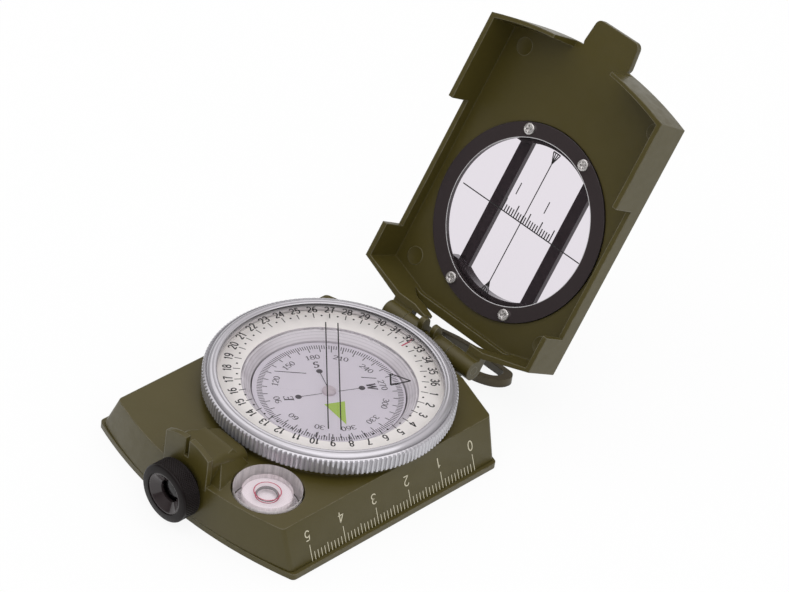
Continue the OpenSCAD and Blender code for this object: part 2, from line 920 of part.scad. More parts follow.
module lid() {
    seat_r = window_ring_r + 0.1;
    color([0.33, 0.31, 0.2])
        in_lid()
            difference() {
                union() {
                    difference() {
                        lid_tray_outside();
                        lid_tray_inside();
                        // Low walls beside the window
                        translate([-lid_half_w - through, lid_low_from, lid_low_wall_h])
                            cube([2 * (lid_half_w + through), lid_low_to - lid_low_from, lid_wall_h]);
                        // Relief in the far wall for the sight block and the eyepiece
                        translate([-lid_relief_half_w, lid_far_floor_y - lid_relief_l / 2, 0])
                            cube([2 * lid_relief_half_w, lid_relief_l, lid_wall_h + through]);
                        // Opening in the near wall for the case's knuckles
                        translate([0, near_cut_l - through, 0])
                            rotate([90, 0, 0])
                                linear_extrude(near_cut_l)
                                    polygon(concat(
                                        near_cut_left,
                                        [[near_cut_left[len(near_cut_left) - 1][0], 2 * lid_wall_h],
                                         [near_cut_right[0][0], 2 * lid_wall_h]],
                                        near_cut_right));
                        // Room for the bezel under the closed lid
                        translate([0, hinge_y, lid_bezel_room_h])
                            cylinder(r = lid_bezel_room_r, h = lid_wall_h);
                    }
                    translate([0, 0, -lid_floor_t])
                        thumb_tab();
                    for (b = lid_barrels)
                        lid_barrel(b[0], b[1]);
                    for (b = lid_webs)
                        lid_web(b[0], b[1]);
                }
                // Window hole, ring seat and ring screw holes
                translate([0, window_y, -lid_floor_t - through])
                    cylinder(r = window_hole_r, h = lid_floor_t + 2 * through);
                translate([0, window_y, -window_seat_depth])
                    cylinder(r = seat_r, h = window_seat_depth + through);
                ring_screw_stations()
                    translate([0, 0, -lid_floor_t - through])
                        cylinder(r = ring_screw_shank_r + running_gap, h = ring_cut_h, $fn = 32);
                // Bore for the hinge pin
                translate([lid_barrels[0][0] - through, 0, lid_floor_drop])
                    rotate([0, 90, 0])
                        cylinder(r = pin_r, h = lid_barrels[1][1] - lid_barrels[0][0] + 2 * through);
            }
}

module hinge_pin() {
    color([0.6, 0.6, 0.6])
        translate([lid_barrels[0][0], hinge_y, hinge_z])
            rotate([0, 90, 0])
                cylinder(r = pin_r, h = lid_barrels[1][1] - lid_barrels[0][0]);
}

module ring_screw_stations() {
    station_x = ring_screw_r * sin(ring_screw_deg);
    station_y = ring_screw_r * cos(ring_screw_deg);
    for (side = [-1, 1], end = [-1, 1])
        translate([side * station_x, window_y + end * station_y, 0])
            children();
}

module window_glass() {
    color([0.9, 0.92, 0.94, 0.25])
        in_lid()
            translate([0, window_y, -window_seat_depth - window_glass_t])
                cylinder(r = window_glass_r, h = window_glass_t);
}

module window_ring() {
    color([0.12, 0.11, 0.12])
        in_lid()
            difference() {
                translate([0, window_y, -window_seat_depth])
                    cylinder(r = window_ring_r, h = window_seat_depth + window_ring_top);
                translate([0, window_y, -window_seat_depth - through])
                    cylinder(r = window_ring_inner_r, h = ring_cut_h);
                ring_screw_stations()
                    translate([0, 0, -window_seat_depth - through])
                        cylinder(r = ring_screw_shank_r + running_gap, h = ring_cut_h, $fn = 32);
            }
}

module ring_screws() {
    cross_l = 1.7;
    cross_w = 0.4;
    cross_d = 0.4;
    cross_deg = 30;
    head_h = ring_screw_head_top - window_ring_top;
    shank_l = ring_screw_head_top - ring_screw_tip - cross_d;
    color([0.8, 0.8, 0.82])
        in_lid()
            ring_screw_stations()
                difference() {
                    union() {
                        translate([0, 0, window_ring_top])
                            cylinder(r = ring_screw_head_r, h = head_h, $fn = 48);
                        translate([0, 0, ring_screw_tip])
                            cylinder(r = ring_screw_shank_r, h = shank_l, $fn = 32);
                    }
                    for (turn = [0, 90])
                        rotate([0, 0, turn + cross_deg])
                            translate([-cross_l / 2, -cross_w / 2, ring_screw_head_top - cross_d])
                                cube([cross_l, cross_w, cross_d + through]);
                }
}

module sight_guard() {
    guard_top = -lid_floor_t - 0.1;
    bar_bite = 1.5;
    bar_l = 2 * (guard_inner_r - bar_bite);
    color([0.14, 0.13, 0.14])
        in_lid()
            difference() {
                union() {
                    // Two arcs, open at the sides
                    intersection() {
                        difference() {
                            translate([0, window_y, -guard_depth])
                                cylinder(r = guard_outer_r, h = guard_depth + guard_top);
                            translate([0, window_y, -guard_depth - through])
                                cylinder(r = guard_inner_r, h = guard_depth + 2 * through);
                        }
                        translate([0, window_y, -2 * guard_depth])
                            for (turn = [0, 180])
                                rotate([0, 0, turn])
                                    translate([-guard_half_w, guard_foot_y, 0])
                                        cube([2 * guard_half_w, guard_outer_r, 3 * guard_depth]);
                    }
                    for (side = [-1, 1])
                        translate([side * guard_bar_x, window_y, -guard_depth])
                            translate([-guard_bar_w / 2, -bar_l / 2, 0])
                                cube([guard_bar_w, bar_l, guard_bar_t]);
                }
                ring_screw_stations()
                    translate([0, 0, ring_screw_tip - 0.1])
                        cylinder(r = ring_screw_shank_r, h = -ring_screw_tip, $fn = 32);
            }
}

// The far side's points at a distance inside the edge, from the hole's right end to its left
function loop_far_points(inset, half_w, least_y) =
    [for (p = loop_far_side)
        [max(-half_w, min(half_w, p[0])), max(least_y, hinge_y + p[1] - inset)]];

module loop_plan() {
    difference() {
        offset(r = loop_corner_r, $fn = 48)
            offset(delta = -loop_corner_r)
                polygon(concat(
                    half_ellipse(loop_half_w, loop_outer_depth, loop_mid_y),
                    loop_far_points(0, loop_half_w, loop_mid_y)));
        offset(r = loop_hole_corner_r, $fn = 48)
            offset(delta = -loop_hole_corner_r)
                polygon(concat(
                    half_ellipse(loop_hole_half_w, loop_hole_depth, loop_hole_mid_y),
                    loop_far_points(loop_far_bar_w, loop_hole_half_w, loop_hole_mid_y)));
    }
}

module carry_loop() {
    neck_far_y = loop_mid_y - loop_outer_depth + loop_neck_overlap;
    color([0.36, 0.34, 0.27])
        translate([loop_x, 0, 0])
            difference() {
                union() {
                    translate([0, 0, loop_z])
                        linear_extrude(loop_t)
                            loop_plan();
                    translate([-loop_neck_half_w, loop_pin_y, loop_z])
                        cube([2 * loop_neck_half_w, neck_far_y - loop_pin_y, loop_t]);
                    along_x(-loop_neck_half_w, loop_neck_half_w)
                        translate([loop_pin_y, loop_pin_z])
                            circle(loop_eye_r, $fn = 48);
                }
                translate([-loop_neck_half_w - through, loop_pin_y, loop_pin_z])
                    rotate([0, 90, 0])
                        cylinder(r = loop_pin_r + running_gap, h = 2 * (loop_neck_half_w + through));
            }
}

module loop_pin() {
    half_l = loop_neck_half_w + loop_ear_gap + loop_ear_w;
    color([0.6, 0.6, 0.6])
        translate([loop_x - half_l, loop_pin_y, loop_pin_z])
            rotate([0, 90, 0])
                cylinder(r = loop_pin_r, h = 2 * half_l);
}

case();
base_plate();
base_screws();
tripod_bush();
capsule();
capsule_window();
luminous_ring();
index_glass();
pivot_pin();
card();
card_magnet();
jewel_cap();
bezel();
crystal();
crystal_seal();
bezel_retainer();
bezel_spring();
level_vial();
level_plug();
eyepiece_sleeve();
eyepiece_ring();
lens_cell();
eyepiece_lens();
lid();
hinge_pin();
window_glass();
window_ring();
ring_screws();
sight_guard();
carry_loop();
loop_pin();
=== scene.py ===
import math
import bpy
import numpy as np
from mathutils import Matrix, Vector


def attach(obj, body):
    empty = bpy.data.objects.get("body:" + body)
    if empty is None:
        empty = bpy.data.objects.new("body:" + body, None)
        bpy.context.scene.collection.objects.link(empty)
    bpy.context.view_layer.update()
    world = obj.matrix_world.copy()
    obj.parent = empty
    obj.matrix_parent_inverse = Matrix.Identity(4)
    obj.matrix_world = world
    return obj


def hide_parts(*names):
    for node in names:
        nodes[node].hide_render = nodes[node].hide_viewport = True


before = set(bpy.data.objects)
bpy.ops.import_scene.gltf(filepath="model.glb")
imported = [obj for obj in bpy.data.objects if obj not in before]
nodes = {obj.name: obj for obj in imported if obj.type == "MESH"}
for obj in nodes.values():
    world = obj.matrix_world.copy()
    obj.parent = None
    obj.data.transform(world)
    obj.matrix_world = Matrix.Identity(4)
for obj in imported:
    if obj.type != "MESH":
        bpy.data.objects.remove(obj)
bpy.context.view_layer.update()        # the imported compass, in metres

mm = 0.001
print("frame loaded with", len(nodes), "nodes")


# small helpers for nodes and meshes

def newTree(name):
    material = bpy.data.materials.new(name)
    material.use_nodes = True
    tree = material.node_tree
    tree.nodes.clear()
    return material, tree


def feed(tree, socket, value):
    # value is a plain one, or the output socket of another node
    if isinstance(value, bpy.types.NodeSocket):
        tree.links.new(value, socket)
    else:
        socket.default_value = value


def put(tree, kind, inputs=None, **settings):
    node = tree.nodes.new(kind)
    for key, value in settings.items():
        setattr(node, key, value)
    for key, value in (inputs or {}).items():
        feed(tree, node.inputs[key], value)
    return node


def finishTree(tree, shader):
    put(tree, "ShaderNodeOutputMaterial", {"Surface": shader})


def rgba(colour):
    return (*colour, 1.0)


def places(tree):
    return put(tree, "ShaderNodeTexCoord").outputs["Object"]


def noiseAt(tree, where, scale, detail=2.0, rough=0.5):
    noise = put(tree, "ShaderNodeTexNoise", {
        "Vector": where, "Scale": scale, "Detail": detail, "Roughness": rough})
    return noise.outputs["Fac"]


def spread(tree, value, low, high, toLow=0.0, toHigh=1.0):
    node = put(tree, "ShaderNodeMapRange", {
        "Value": value, "From Min": low, "From Max": high, "To Min": toLow, "To Max": toHigh})
    return node.outputs["Result"]


def blendColours(tree, share, first, second):
    node = put(tree, "ShaderNodeMix", {0: share}, data_type="RGBA")
    feed(tree, node.inputs[6], first)
    feed(tree, node.inputs[7], second)
    return node.outputs[2]


def sums(tree, kind, first, second):
    return put(tree, "ShaderNodeMath", {0: first, 1: second}, operation=kind).outputs[0]


def softNormal(tree, radius, height, depth, strength=1.0):
    # edges read as rounded over this radius, with a fine bump on top
    rounded = put(tree, "ShaderNodeBevel", {"Radius": radius}, samples=6).outputs["Normal"]
    bump = put(tree, "ShaderNodeBump", {
        "Strength": strength, "Distance": depth, "Height": height, "Normal": rounded})
    return rounded, bump.outputs["Normal"]


def edgeShare(tree, rounded, low, high):
    # 0 on a face and 1 close to a sharp edge
    face = put(tree, "ShaderNodeNewGeometry").outputs["Normal"]
    dot = put(tree, "ShaderNodeVectorMath", {0: rounded, 1: face}, operation="DOT_PRODUCT")
    bend = sums(tree, "SUBTRACT", 1.0, dot.outputs["Value"])
    return spread(tree, bend, low, high)


def openness(tree, reach):
    # 1 in the open, and less where other faces stand within reach
    return put(tree, "ShaderNodeAmbientOcclusion", {"Distance": reach}, samples=4).outputs["AO"]


def axisDistance(tree, where):
    # distance from the dial's axis
    flat = put(tree, "ShaderNodeVectorMath", {0: where, 1: (1.0, 1.0, 0.0)}, operation="MULTIPLY")
    return put(tree, "ShaderNodeVectorMath", {0: flat.outputs[0]}, operation="LENGTH").outputs["Value"]


# the lid's own frame

lidLook = {
    "hingeY": 32.58, "hingeZ": 11.4, "floorDrop": 9.61,
    "alongY": 0.48938, "alongZ": 0.87207, "windowV": 32.11,
}


def lidPoint(u, v, w, look=lidLook):
    # u across, v from the hinge to the tab, w up from the lid's floor
    drop = w - look["floorDrop"]
    y = look["hingeY"] + look["alongY"] * v - look["alongZ"] * drop
    z = look["hingeZ"] + look["alongZ"] * v + look["alongY"] * drop
    return (u * mm, y * mm, z * mm)


# materials

# a noise's values lie mostly between these two
wideNoise = (0.3, 0.7)
midNoise = (0.35, 0.65)
highNoise = (0.35, 0.75)
grainNoise = (0.2, 0.8)
whiteColour = (1.0, 1.0, 1.0, 1.0)

paintLook = {
    "colour": (0.062, 0.0495, 0.0095),
    "cloudColour": (0.067, 0.0535, 0.0112),
    "cloudScale": 55,
    "roughness": (0.3, 0.42),
    "shine": 0.38,
    "grainScale": 2600,
    "grainDepth": 0.02 * mm,
    "grainStrength": 0.5,
    "wearScale": 420,
    # worn edges, lightened also by a painted highlight: rounding, how sharp they are, and how open their
    # surroundings are
    "litWornEdgeColour": (0.2, 0.18, 0.125),
    "edgeRadius": 0.4 * mm,
    "edgeBend": (0.015, 0.16),
    "edgeReach": 0.9 * mm,
    "edgeOpen": (0.72, 0.92),
    "edgeWearAndLight": (0.3, 0.95),
    # painted shade in deep inner sides
    "hollowShade": 0.0,
    "hollowReach": 3.0 * mm,
    "hollowOpen": (0.3, 0.8),
    "hollowTone": 0.2,
}


def makePaint(name, look):
    material, tree = newTree(name)
    where = places(tree)
    cloud = noiseAt(tree, where, look["cloudScale"], 3.0)
    grain = noiseAt(tree, where, look["grainScale"], 2.0)
    wearAndLight = noiseAt(tree, where, look["wearScale"], 4.0, 0.65)
    rounded, normal = softNormal(tree, look["edgeRadius"], grain, look["grainDepth"],
                                 look["grainStrength"])
    edge = edgeShare(tree, rounded, *look["edgeBend"])
    # lighter where an edge stands out in the open: partly wear, partly a painted highlight
    outward = sums(tree, "MULTIPLY", edge,
                   spread(tree, openness(tree, look["edgeReach"]), *look["edgeOpen"]))
    edgeLightAndWear = sums(tree, "MULTIPLY", outward, spread(tree, wearAndLight, *midNoise, *look["edgeWearAndLight"]))
    body = blendColours(tree, spread(tree, cloud, *wideNoise),
                        rgba(look["colour"]), rgba(look["cloudColour"]))
    colour = blendColours(tree, edgeLightAndWear, body, rgba(look["litWornEdgeColour"]))
    # painted shade where other faces stand close
    if look["hollowShade"]:
        paintedHollowShade = spread(tree, openness(tree, look["hollowReach"]), *look["hollowOpen"],
                       look["hollowShade"], 0.0)
        colour = blendColours(tree, paintedHollowShade, colour,
                              rgba([look["hollowTone"] * c for c in look["colour"]]))
    shader = put(tree, "ShaderNodeBsdfPrincipled", {
        "Base Color": colour, "Roughness": spread(tree, wearAndLight, *wideNoise, *look["roughness"]),
        "Specular IOR Level": look["shine"], "Normal": normal})
    finishTree(tree, shader.outputs[0])
    return material


metalLook = {
    "bezel": {"colour": (0.54, 0.53, 0.56), "roughness": (0.12, 0.19), "anisotropy": 0.3,
              "metallic": 0.6, "ringScale": 9000, "depth": 0.004 * mm, "edge": 0.12 * mm},
    "chrome": {"colour": (0.93, 0.91, 0.89), "roughness": (0.06, 0.14), "anisotropy": 0.0,
               "metallic": 0.9, "ringScale": 6000, "depth": 0.003 * mm, "edge": 0.5 * mm},
    "steel": {"colour": (0.5, 0.49, 0.48), "roughness": (0.25, 0.4), "anisotropy": 0.0,
              "metallic": 1.0, "ringScale": 6000, "depth": 0.004 * mm, "edge": 0.1 * mm},
    "brass": {"colour": (0.7, 0.5, 0.22), "roughness": (0.25, 0.4), "anisotropy": 0.0,
              "metallic": 1.0, "ringScale": 5000, "depth": 0.004 * mm, "edge": 0.1 * mm},
}
metalWearAndShade = {
    "ringStrength": 0.35, "stainScale": 260, "stainShare": 0.14, "stainTone": 0.7,
    "creviceShadeColour": (0.03, 0.026, 0.026), "creviceShadeReach": 0.35 * mm, "creviceShadeOpen": (0.35, 0.85), "creviceShade": 0.75,
}


def makeMetal(name, look, wearAndLight=metalWearAndShade):
    # turned metal: fine lathe rings about the vertical axis, a little tarnish, painted shade in the grooves
    material, tree = newTree(name)
    where = places(tree)
    rings = put(tree, "ShaderNodeTexNoise", {
        "W": axisDistance(tree, where), "Scale": look["ringScale"], "Detail": 2.0},
        noise_dimensions="1D").outputs["Fac"]
    stain = noiseAt(tree, where, wearAndLight["stainScale"], 4.0, 0.6)
    normal = softNormal(tree, look["edge"], rings, look["depth"], wearAndLight["ringStrength"])[1]
    colour = blendColours(tree, spread(tree, stain, *highNoise, 0.0, wearAndLight["stainShare"]),
                          rgba(look["colour"]), rgba([wearAndLight["stainTone"] * c for c in look["colour"]]))
    # painted shade in grooves and recesses, where other faces stand close
    creviceShade = spread(tree, openness(tree, wearAndLight["creviceShadeReach"]), *wearAndLight["creviceShadeOpen"], wearAndLight["creviceShade"], 0.0)
    colour = blendColours(tree, creviceShade, colour, rgba(wearAndLight["creviceShadeColour"]))
    shader = put(tree, "ShaderNodeBsdfPrincipled", {
        "Base Color": colour, "Metallic": look["metallic"],
        "Roughness": spread(tree, stain, *wideNoise, *look["roughness"]), "Normal": normal,
        "Anisotropic": look["anisotropy"]})
    if look["anisotropy"]:
        turned = put(tree, "ShaderNodeTangent", direction_type="RADIAL", axis="Z")
        tree.links.new(turned.outputs[0], shader.inputs["Tangent"])
    finishTree(tree, shader.outputs[0])
    return material


blackLook = {
    "gloss": {"colour": (0.03, 0.022, 0.023), "roughness": (0.1, 0.2), "shine": 0.55,
              "grain": 3000, "depth": 0.006 * mm, "edge": 0.18 * mm, "litWornEdgeColour": (0.07, 0.063, 0.068)},
    "satin": {"colour": (0.0068, 0.0044, 0.0044), "roughness": (0.3, 0.42), "shine": 0.16,
              "grain": 4200, "depth": 0.01 * mm, "edge": 0.15 * mm, "litWornEdgeColour": (0.03, 0.024, 0.025)},
    "magnet": {"colour": (0.045, 0.045, 0.05), "roughness": (0.4, 0.55), "shine": 0.4,
               "grain": 1800, "depth": 0.02 * mm, "edge": 0.15 * mm, "litWornEdgeColour": (0.09, 0.09, 0.1)},
    # the bubble's rim: dark, painted shade
    "bubble": {"colour": (0.16, 0.15, 0.155), "roughness": (0.08, 0.16), "shine": 0.6,
               "grain": 3000, "depth": 0.004 * mm, "edge": 0.05 * mm, "litWornEdgeColour": (0.3, 0.28, 0.29)},
}
blackWearAndLight = {"grainStrength": 0.4, "smearScale": 180, "edgeBend": (0.02, 0.2), "edgeShare": 0.6,
             "lineFacing": (0.5, 0.8)}


def makeBlack(name, look, bright=None, wearAndLight=blackWearAndLight):
    # bright, where given, is a worn line that is also a painted highlight: its centre, axis, inner and outer
    # radius and colour
    material, tree = newTree(name)
    where = places(tree)
    grain = noiseAt(tree, where, look["grain"], 2.0)
    smear = noiseAt(tree, where, wearAndLight["smearScale"], 3.0, 0.6)
    rounded, normal = softNormal(tree, look["edge"], grain, look["depth"], wearAndLight["grainStrength"])
    # edges lighter: a painted highlight, partly wear
    edge = edgeShare(tree, rounded, *wearAndLight["edgeBend"])
    colour = blendColours(tree, sums(tree, "MULTIPLY", edge, wearAndLight["edgeShare"]),
                          rgba(look["colour"]), rgba(look["litWornEdgeColour"]))
    if bright:
        far = put(tree, "ShaderNodeVectorMath", {0: where, 1: bright["centre"]}, operation="DISTANCE")
        face = put(tree, "ShaderNodeTexCoord").outputs["Normal"]
        top = put(tree, "ShaderNodeVectorMath", {0: face, 1: bright["axis"]}, operation="DOT_PRODUCT")
        line = spread(tree, far.outputs["Value"], bright["from"], bright["to"], 1.0, 0.0)
        line = sums(tree, "MULTIPLY", line, spread(tree, top.outputs["Value"], *wearAndLight["lineFacing"]))
        colour = blendColours(tree, line, colour, rgba(bright["colour"]))
    shader = put(tree, "ShaderNodeBsdfPrincipled", {
        "Base Color": colour, "Roughness": spread(tree, smear, *wideNoise, *look["roughness"]),
        "Specular IOR Level": look["shine"], "Normal": normal})
    finishTree(tree, shader.outputs[0])
    return material


# worn bright line round the inner edge of the window's ring, also a painted highlight
ringLine = {"w": 0.5, "inner": 19.47, "width": 0.2, "colour": (0.85, 0.83, 0.85)}


def makeRingBlack(look):
    return makeBlack("windowRingBlack", blackLook["gloss"], {
        "centre": lidPoint(0.0, lidLook["windowV"], look["w"]),
        "axis": (0.0, -lidLook["alongZ"], lidLook["alongY"]),
        "from": look["inner"] * mm, "to": (look["inner"] + look["width"]) * mm,
        "colour": look["colour"]})


inkLook = {
    "greyInk": (0.065, 0.055, 0.07),
    "scaleMarking": (0.55, 0.51, 0.38),
    "crystalInk": (0.012, 0.01, 0.011),
    "redInk": (0.5, 0.035, 0.1),
    "northGreen": (0.46, 0.67, 0.09),
}
inkLayer = {"scale": 2400, "roughness": 0.5, "shine": 0.2, "patchShare": 0.12, "patchLevel": 0.3,
            "strength": 0.2, "depth": 0.01 * mm}


def makePrint(name, layer=inkLayer):
    # a thin, slightly patchy layer of ink or marking paint
    colour = inkLook[name]
    material, tree = newTree(name)
    where = places(tree)
    uneven = noiseAt(tree, where, layer["scale"], 3.0, 0.6)
    patch = [c * (1 - layer["patchShare"]) + layer["patchShare"] * layer["patchLevel"] for c in colour]
    tone = blendColours(tree, spread(tree, uneven, *wideNoise), rgba(colour), rgba(patch))
    bump = put(tree, "ShaderNodeBump", {
        "Strength": layer["strength"], "Distance": layer["depth"], "Height": uneven})
    shader = put(tree, "ShaderNodeBsdfPrincipled", {
        "Base Color": tone, "Roughness": layer["roughness"], "Specular IOR Level": layer["shine"],
        "Normal": bump.outputs[0]})
    finishTree(tree, shader.outputs[0])
    return material


mattLook = {
    "cardFace": {"colour": (0.82, 0.77, 0.85), "second": (0.79, 0.745, 0.82), "scale": 1500,
                 "roughness": (0.5, 0.6), "shine": 0.2, "depth": 0.01 * mm},
    "luminousCream": {"colour": (0.775, 0.735, 0.72), "second": (0.745, 0.705, 0.69), "scale": 1100,
                      "roughness": (0.55, 0.65), "shine": 0.2, "depth": 0.02 * mm},
    "paleSeal": {"colour": (0.56, 0.53, 0.54), "second": (0.5, 0.47, 0.48), "scale": 1300,
                 "roughness": (0.35, 0.45), "shine": 0.4, "depth": 0.01 * mm},
    "levelWhite": {"colour": (0.86, 0.82, 0.85), "second": (0.82, 0.78, 0.81), "scale": 900,
                   "roughness": (0.4, 0.5), "shine": 0.3, "depth": 0.01 * mm},
    "jewelPink": {"colour": (0.66, 0.58, 0.63), "second": (0.6, 0.52, 0.57), "scale": 1500,
                  "roughness": (0.25, 0.35), "shine": 0.5, "depth": 0.01 * mm},
}
mattGrain = {"cloudScale": 90, "edge": 0.1 * mm, "strength": 0.4}


def makeMatt(name, grainLook=mattGrain):
    # a plain moulded or printed face with fine grain
    look = mattLook[name]
    material, tree = newTree(name)
    where = places(tree)
    grain = noiseAt(tree, where, look["scale"], 3.0, 0.6)
    cloud = noiseAt(tree, where, grainLook["cloudScale"], 2.0)
    normal = softNormal(tree, grainLook["edge"], grain, look["depth"], grainLook["strength"])[1]
    tone = blendColours(tree, spread(tree, cloud, *wideNoise),
                        rgba(look["colour"]), rgba(look["second"]))
    shader = put(tree, "ShaderNodeBsdfPrincipled", {
        "Base Color": tone, "Roughness": spread(tree, grain, *grainNoise, *look["roughness"]),
        "Specular IOR Level": look["shine"], "Normal": normal})
    finishTree(tree, shader.outputs[0])
    return material


# smudge is the roughest a surface gets, and upright walls get a painted reflection, a pale sheen in streaks
clearLook = {
    "crystalGlass": {"tint": (1.0, 1.0, 1.0), "gloss": 0.8, "smudge": 0.06, "paintedReflection": 0.0},
    "windowGlass": {"tint": (0.9, 0.875, 0.905), "gloss": 0.8, "smudge": 0.05, "paintedReflection": 0.0},
    "thinClear": {"tint": (1.0, 0.995, 1.0), "gloss": 0.6, "smudge": 0.05, "paintedReflection": 0.0},
    "clearAcrylic": {"tint": (0.98, 0.965, 0.97), "gloss": 1.6, "smudge": 0.08, "paintedReflection": 0.75},
    # the lens's dark tint is painted shade, darkening the view down the eyepiece
    "lensGlass": {"tint": (0.2, 0.15, 0.18), "gloss": 0.9, "smudge": 0.05, "paintedReflection": 0.0},
}
clearSurface = {"ior": 1.46, "smearScale": 140, "smoothest": 0.02}
# colour and streaks of the painted reflection on upright walls
paintedReflectionLook = {"colour": (0.95, 0.9, 0.91), "streakRun": (1.0, 1.0, 0.1), "streakScale": 1600,
            "streaks": (0.75, 1.0), "upright": (0.1, 0.6)}


def makeClear(name, surface=clearSurface, reflectionPaintLook=paintedReflectionLook):
    # clear pieces show what is behind them unbent
    look = clearLook[name]
    material, tree = newTree(name)
    where = places(tree)
    smear = noiseAt(tree, where, surface["smearScale"], 4.0, 0.6)
    mirrored = put(tree, "ShaderNodeFresnel", {"IOR": surface["ior"]}).outputs[0]
    behind = put(tree, "ShaderNodeNewGeometry").outputs["Backfacing"]
    facing = sums(tree, "SUBTRACT", look["gloss"], sums(tree, "MULTIPLY", behind, look["gloss"]))
    share = sums(tree, "MULTIPLY", mirrored, facing)
    seen = put(tree, "ShaderNodeBsdfTransparent", {"Color": rgba(look["tint"])})
    rough = spread(tree, smear, *highNoise, surface["smoothest"], look["smudge"])
    shine = put(tree, "ShaderNodeBsdfGlossy", {"Color": whiteColour, "Roughness": rough})
    mixed = put(tree, "ShaderNodeMixShader", {0: share, 1: seen.outputs[0], 2: shine.outputs[0]})
    # painted reflection: a pale diffuse sheen in streaks on upright walls
    if look["paintedReflection"]:
        drawn = put(tree, "ShaderNodeVectorMath", {0: where, 1: reflectionPaintLook["streakRun"]},
                    operation="MULTIPLY").outputs[0]
        streaks = noiseAt(tree, drawn, reflectionPaintLook["streakScale"], 2.0)
        up = put(tree, "ShaderNodeSeparateXYZ", {0: put(tree, "ShaderNodeTexCoord").outputs["Normal"]})
        level = sums(tree, "ABSOLUTE", up.outputs["Z"], 0.0)
        wall = spread(tree, level, *reflectionPaintLook["upright"], look["paintedReflection"], 0.0)
        reflectionShare = sums(tree, "MULTIPLY", wall, spread(tree, streaks, *midNoise, *reflectionPaintLook["streaks"]))
        reflectionPaint = put(tree, "ShaderNodeBsdfDiffuse", {"Color": rgba(reflectionPaintLook["colour"])})
        mixed = put(tree, "ShaderNodeMixShader", {0: reflectionShare, 1: mixed.outputs[0], 2: reflectionPaint.outputs[0]})
    finishTree(tree, mixed.outputs[0])
    return material


# ringRadii gives the paleness of the moulded rings, from the card outward
capsuleLook = {
    "pale": (0.92, 0.88, 0.92),
    "dark": (0.42, 0.38, 0.41),
    "seen": (0.9, 0.88, 0.9),
    "ringRadii": ((17.0, 1.0), (17.4, 0.95), (17.6, 0.7), (17.85, 0.95), (18.1, 0.7), (18.25, 1.0),
                  (18.55, 1.0), (18.64, 0.65), (18.72, 1.0), (19.1, 1.0), (19.2, 0.6), (19.3, 1.0),
                  (19.55, 0.95), (19.65, 0.6), (19.8, 0.85), (19.98, 0.15)),
    "sideShade": 0.5,
    "sideWay": (0.69, 0.72, 0.0),
    "sideReach": (10 * mm, 19 * mm),
    "patchScale": 260,
    "patches": (0.45, 1.0),
    "grainScale": 900,
    "grainStrength": 0.3,
    "grainDepth": 0.02 * mm,
    "roughness": (0.12, 0.22),
    "solidShare": 0.93,
}


def makeCapsule(name, look):
    # moulded cup round the dial: milky, glossy, with fine moulded rings in its sloping wall
    material, tree = newTree(name)
    where = places(tree)
    first = look["ringRadii"][0][0]
    last = look["ringRadii"][-1][0]
    share = spread(tree, axisDistance(tree, where), first * mm, last * mm)
    ramp = put(tree, "ShaderNodeValToRGB", {0: share})
    stops = ramp.color_ramp.elements
    for index, (at, level) in enumerate(look["ringRadii"]):
        spot = (at - first) / (last - first)
        stop = stops[0] if index == 0 else stops.new(spot)
        if index == 0:
            stops.remove(stops[1])
        stop.position = spot
        stop.color = (level, level, level, 1.0)
    grain = noiseAt(tree, where, look["grainScale"], 3.0)
    # shade gathers at both ends of the cup, and in patches
    across = put(tree, "ShaderNodeVectorMath", {0: where, 1: look["sideWay"]}, operation="DOT_PRODUCT")
    side = sums(tree, "ABSOLUTE", across.outputs["Value"], 0.0)
    patches = noiseAt(tree, where, look["patchScale"], 4.0, 0.6)
    shade = sums(tree, "MULTIPLY", spread(tree, side, *look["sideReach"], 0.0, look["sideShade"]),
                 spread(tree, patches, *midNoise, *look["patches"]))
    level = sums(tree, "SUBTRACT", ramp.outputs[0], shade)
    tone = blendColours(tree, level, rgba(look["dark"]), rgba(look["pale"]))
    bump = put(tree, "ShaderNodeBump", {
        "Strength": look["grainStrength"], "Distance": look["grainDepth"], "Height": grain})
    wall = put(tree, "ShaderNodeBsdfPrincipled", {
        "Base Color": tone, "Roughness": spread(tree, grain, *grainNoise, *look["roughness"]),
        "Normal": bump.outputs[0]})
    seen = put(tree, "ShaderNodeBsdfTransparent", {"Color": rgba(look["seen"])})
    mixed = put(tree, "ShaderNodeMixShader", {
        0: look["solidShare"], 1: seen.outputs[0], 2: wall.outputs[0]})
    finishTree(tree, mixed.outputs[0])
    return material


olive = makePaint("olivePaint", paintLook)
# the loop's deep inner sides get painted shade
loopPaint = makePaint("loopPaint", {**paintLook, "colour": (0.084, 0.062, 0.027), "hollowShade": 0.95})
bezelMetal = makeMetal("turnedAluminium", metalLook["bezel"])
chrome = makeMetal("chromedSteel", metalLook["chrome"])
steel = makeMetal("plainSteel", metalLook["steel"])
brass = makeMetal("brass", metalLook["brass"])
glossBlack = makeBlack("glossBlackMetal", blackLook["gloss"])
satinBlack = makeBlack("satinBlackMetal", blackLook["satin"])
magnetGrey = makeBlack("magnetGrey", blackLook["magnet"])
bubbleRimShade = makeBlack("bubbleRimShade", blackLook["bubble"])
ringBlack = makeRingBlack(ringLine)
cardFace = makeMatt("cardFace")
cream = makeMatt("luminousCream")
sealPale = makeMatt("paleSeal")
levelWhite = makeMatt("levelWhite")
hubPink = makeMatt("jewelPink")
crystalGlass = makeClear("crystalGlass")
windowGlass = makeClear("windowGlass")
thinClear = makeClear("thinClear")
acrylic = makeClear("clearAcrylic")
lensGlass = makeClear("lensGlass")
capsuleWall = makeCapsule("capsuleWall", capsuleLook)
inkGrey = makePrint("greyInk")
inkScale = makePrint("scaleMarking")
inkCrystal = makePrint("crystalInk")
inkRed = makePrint("redInk")
inkGreen = makePrint("northGreen")

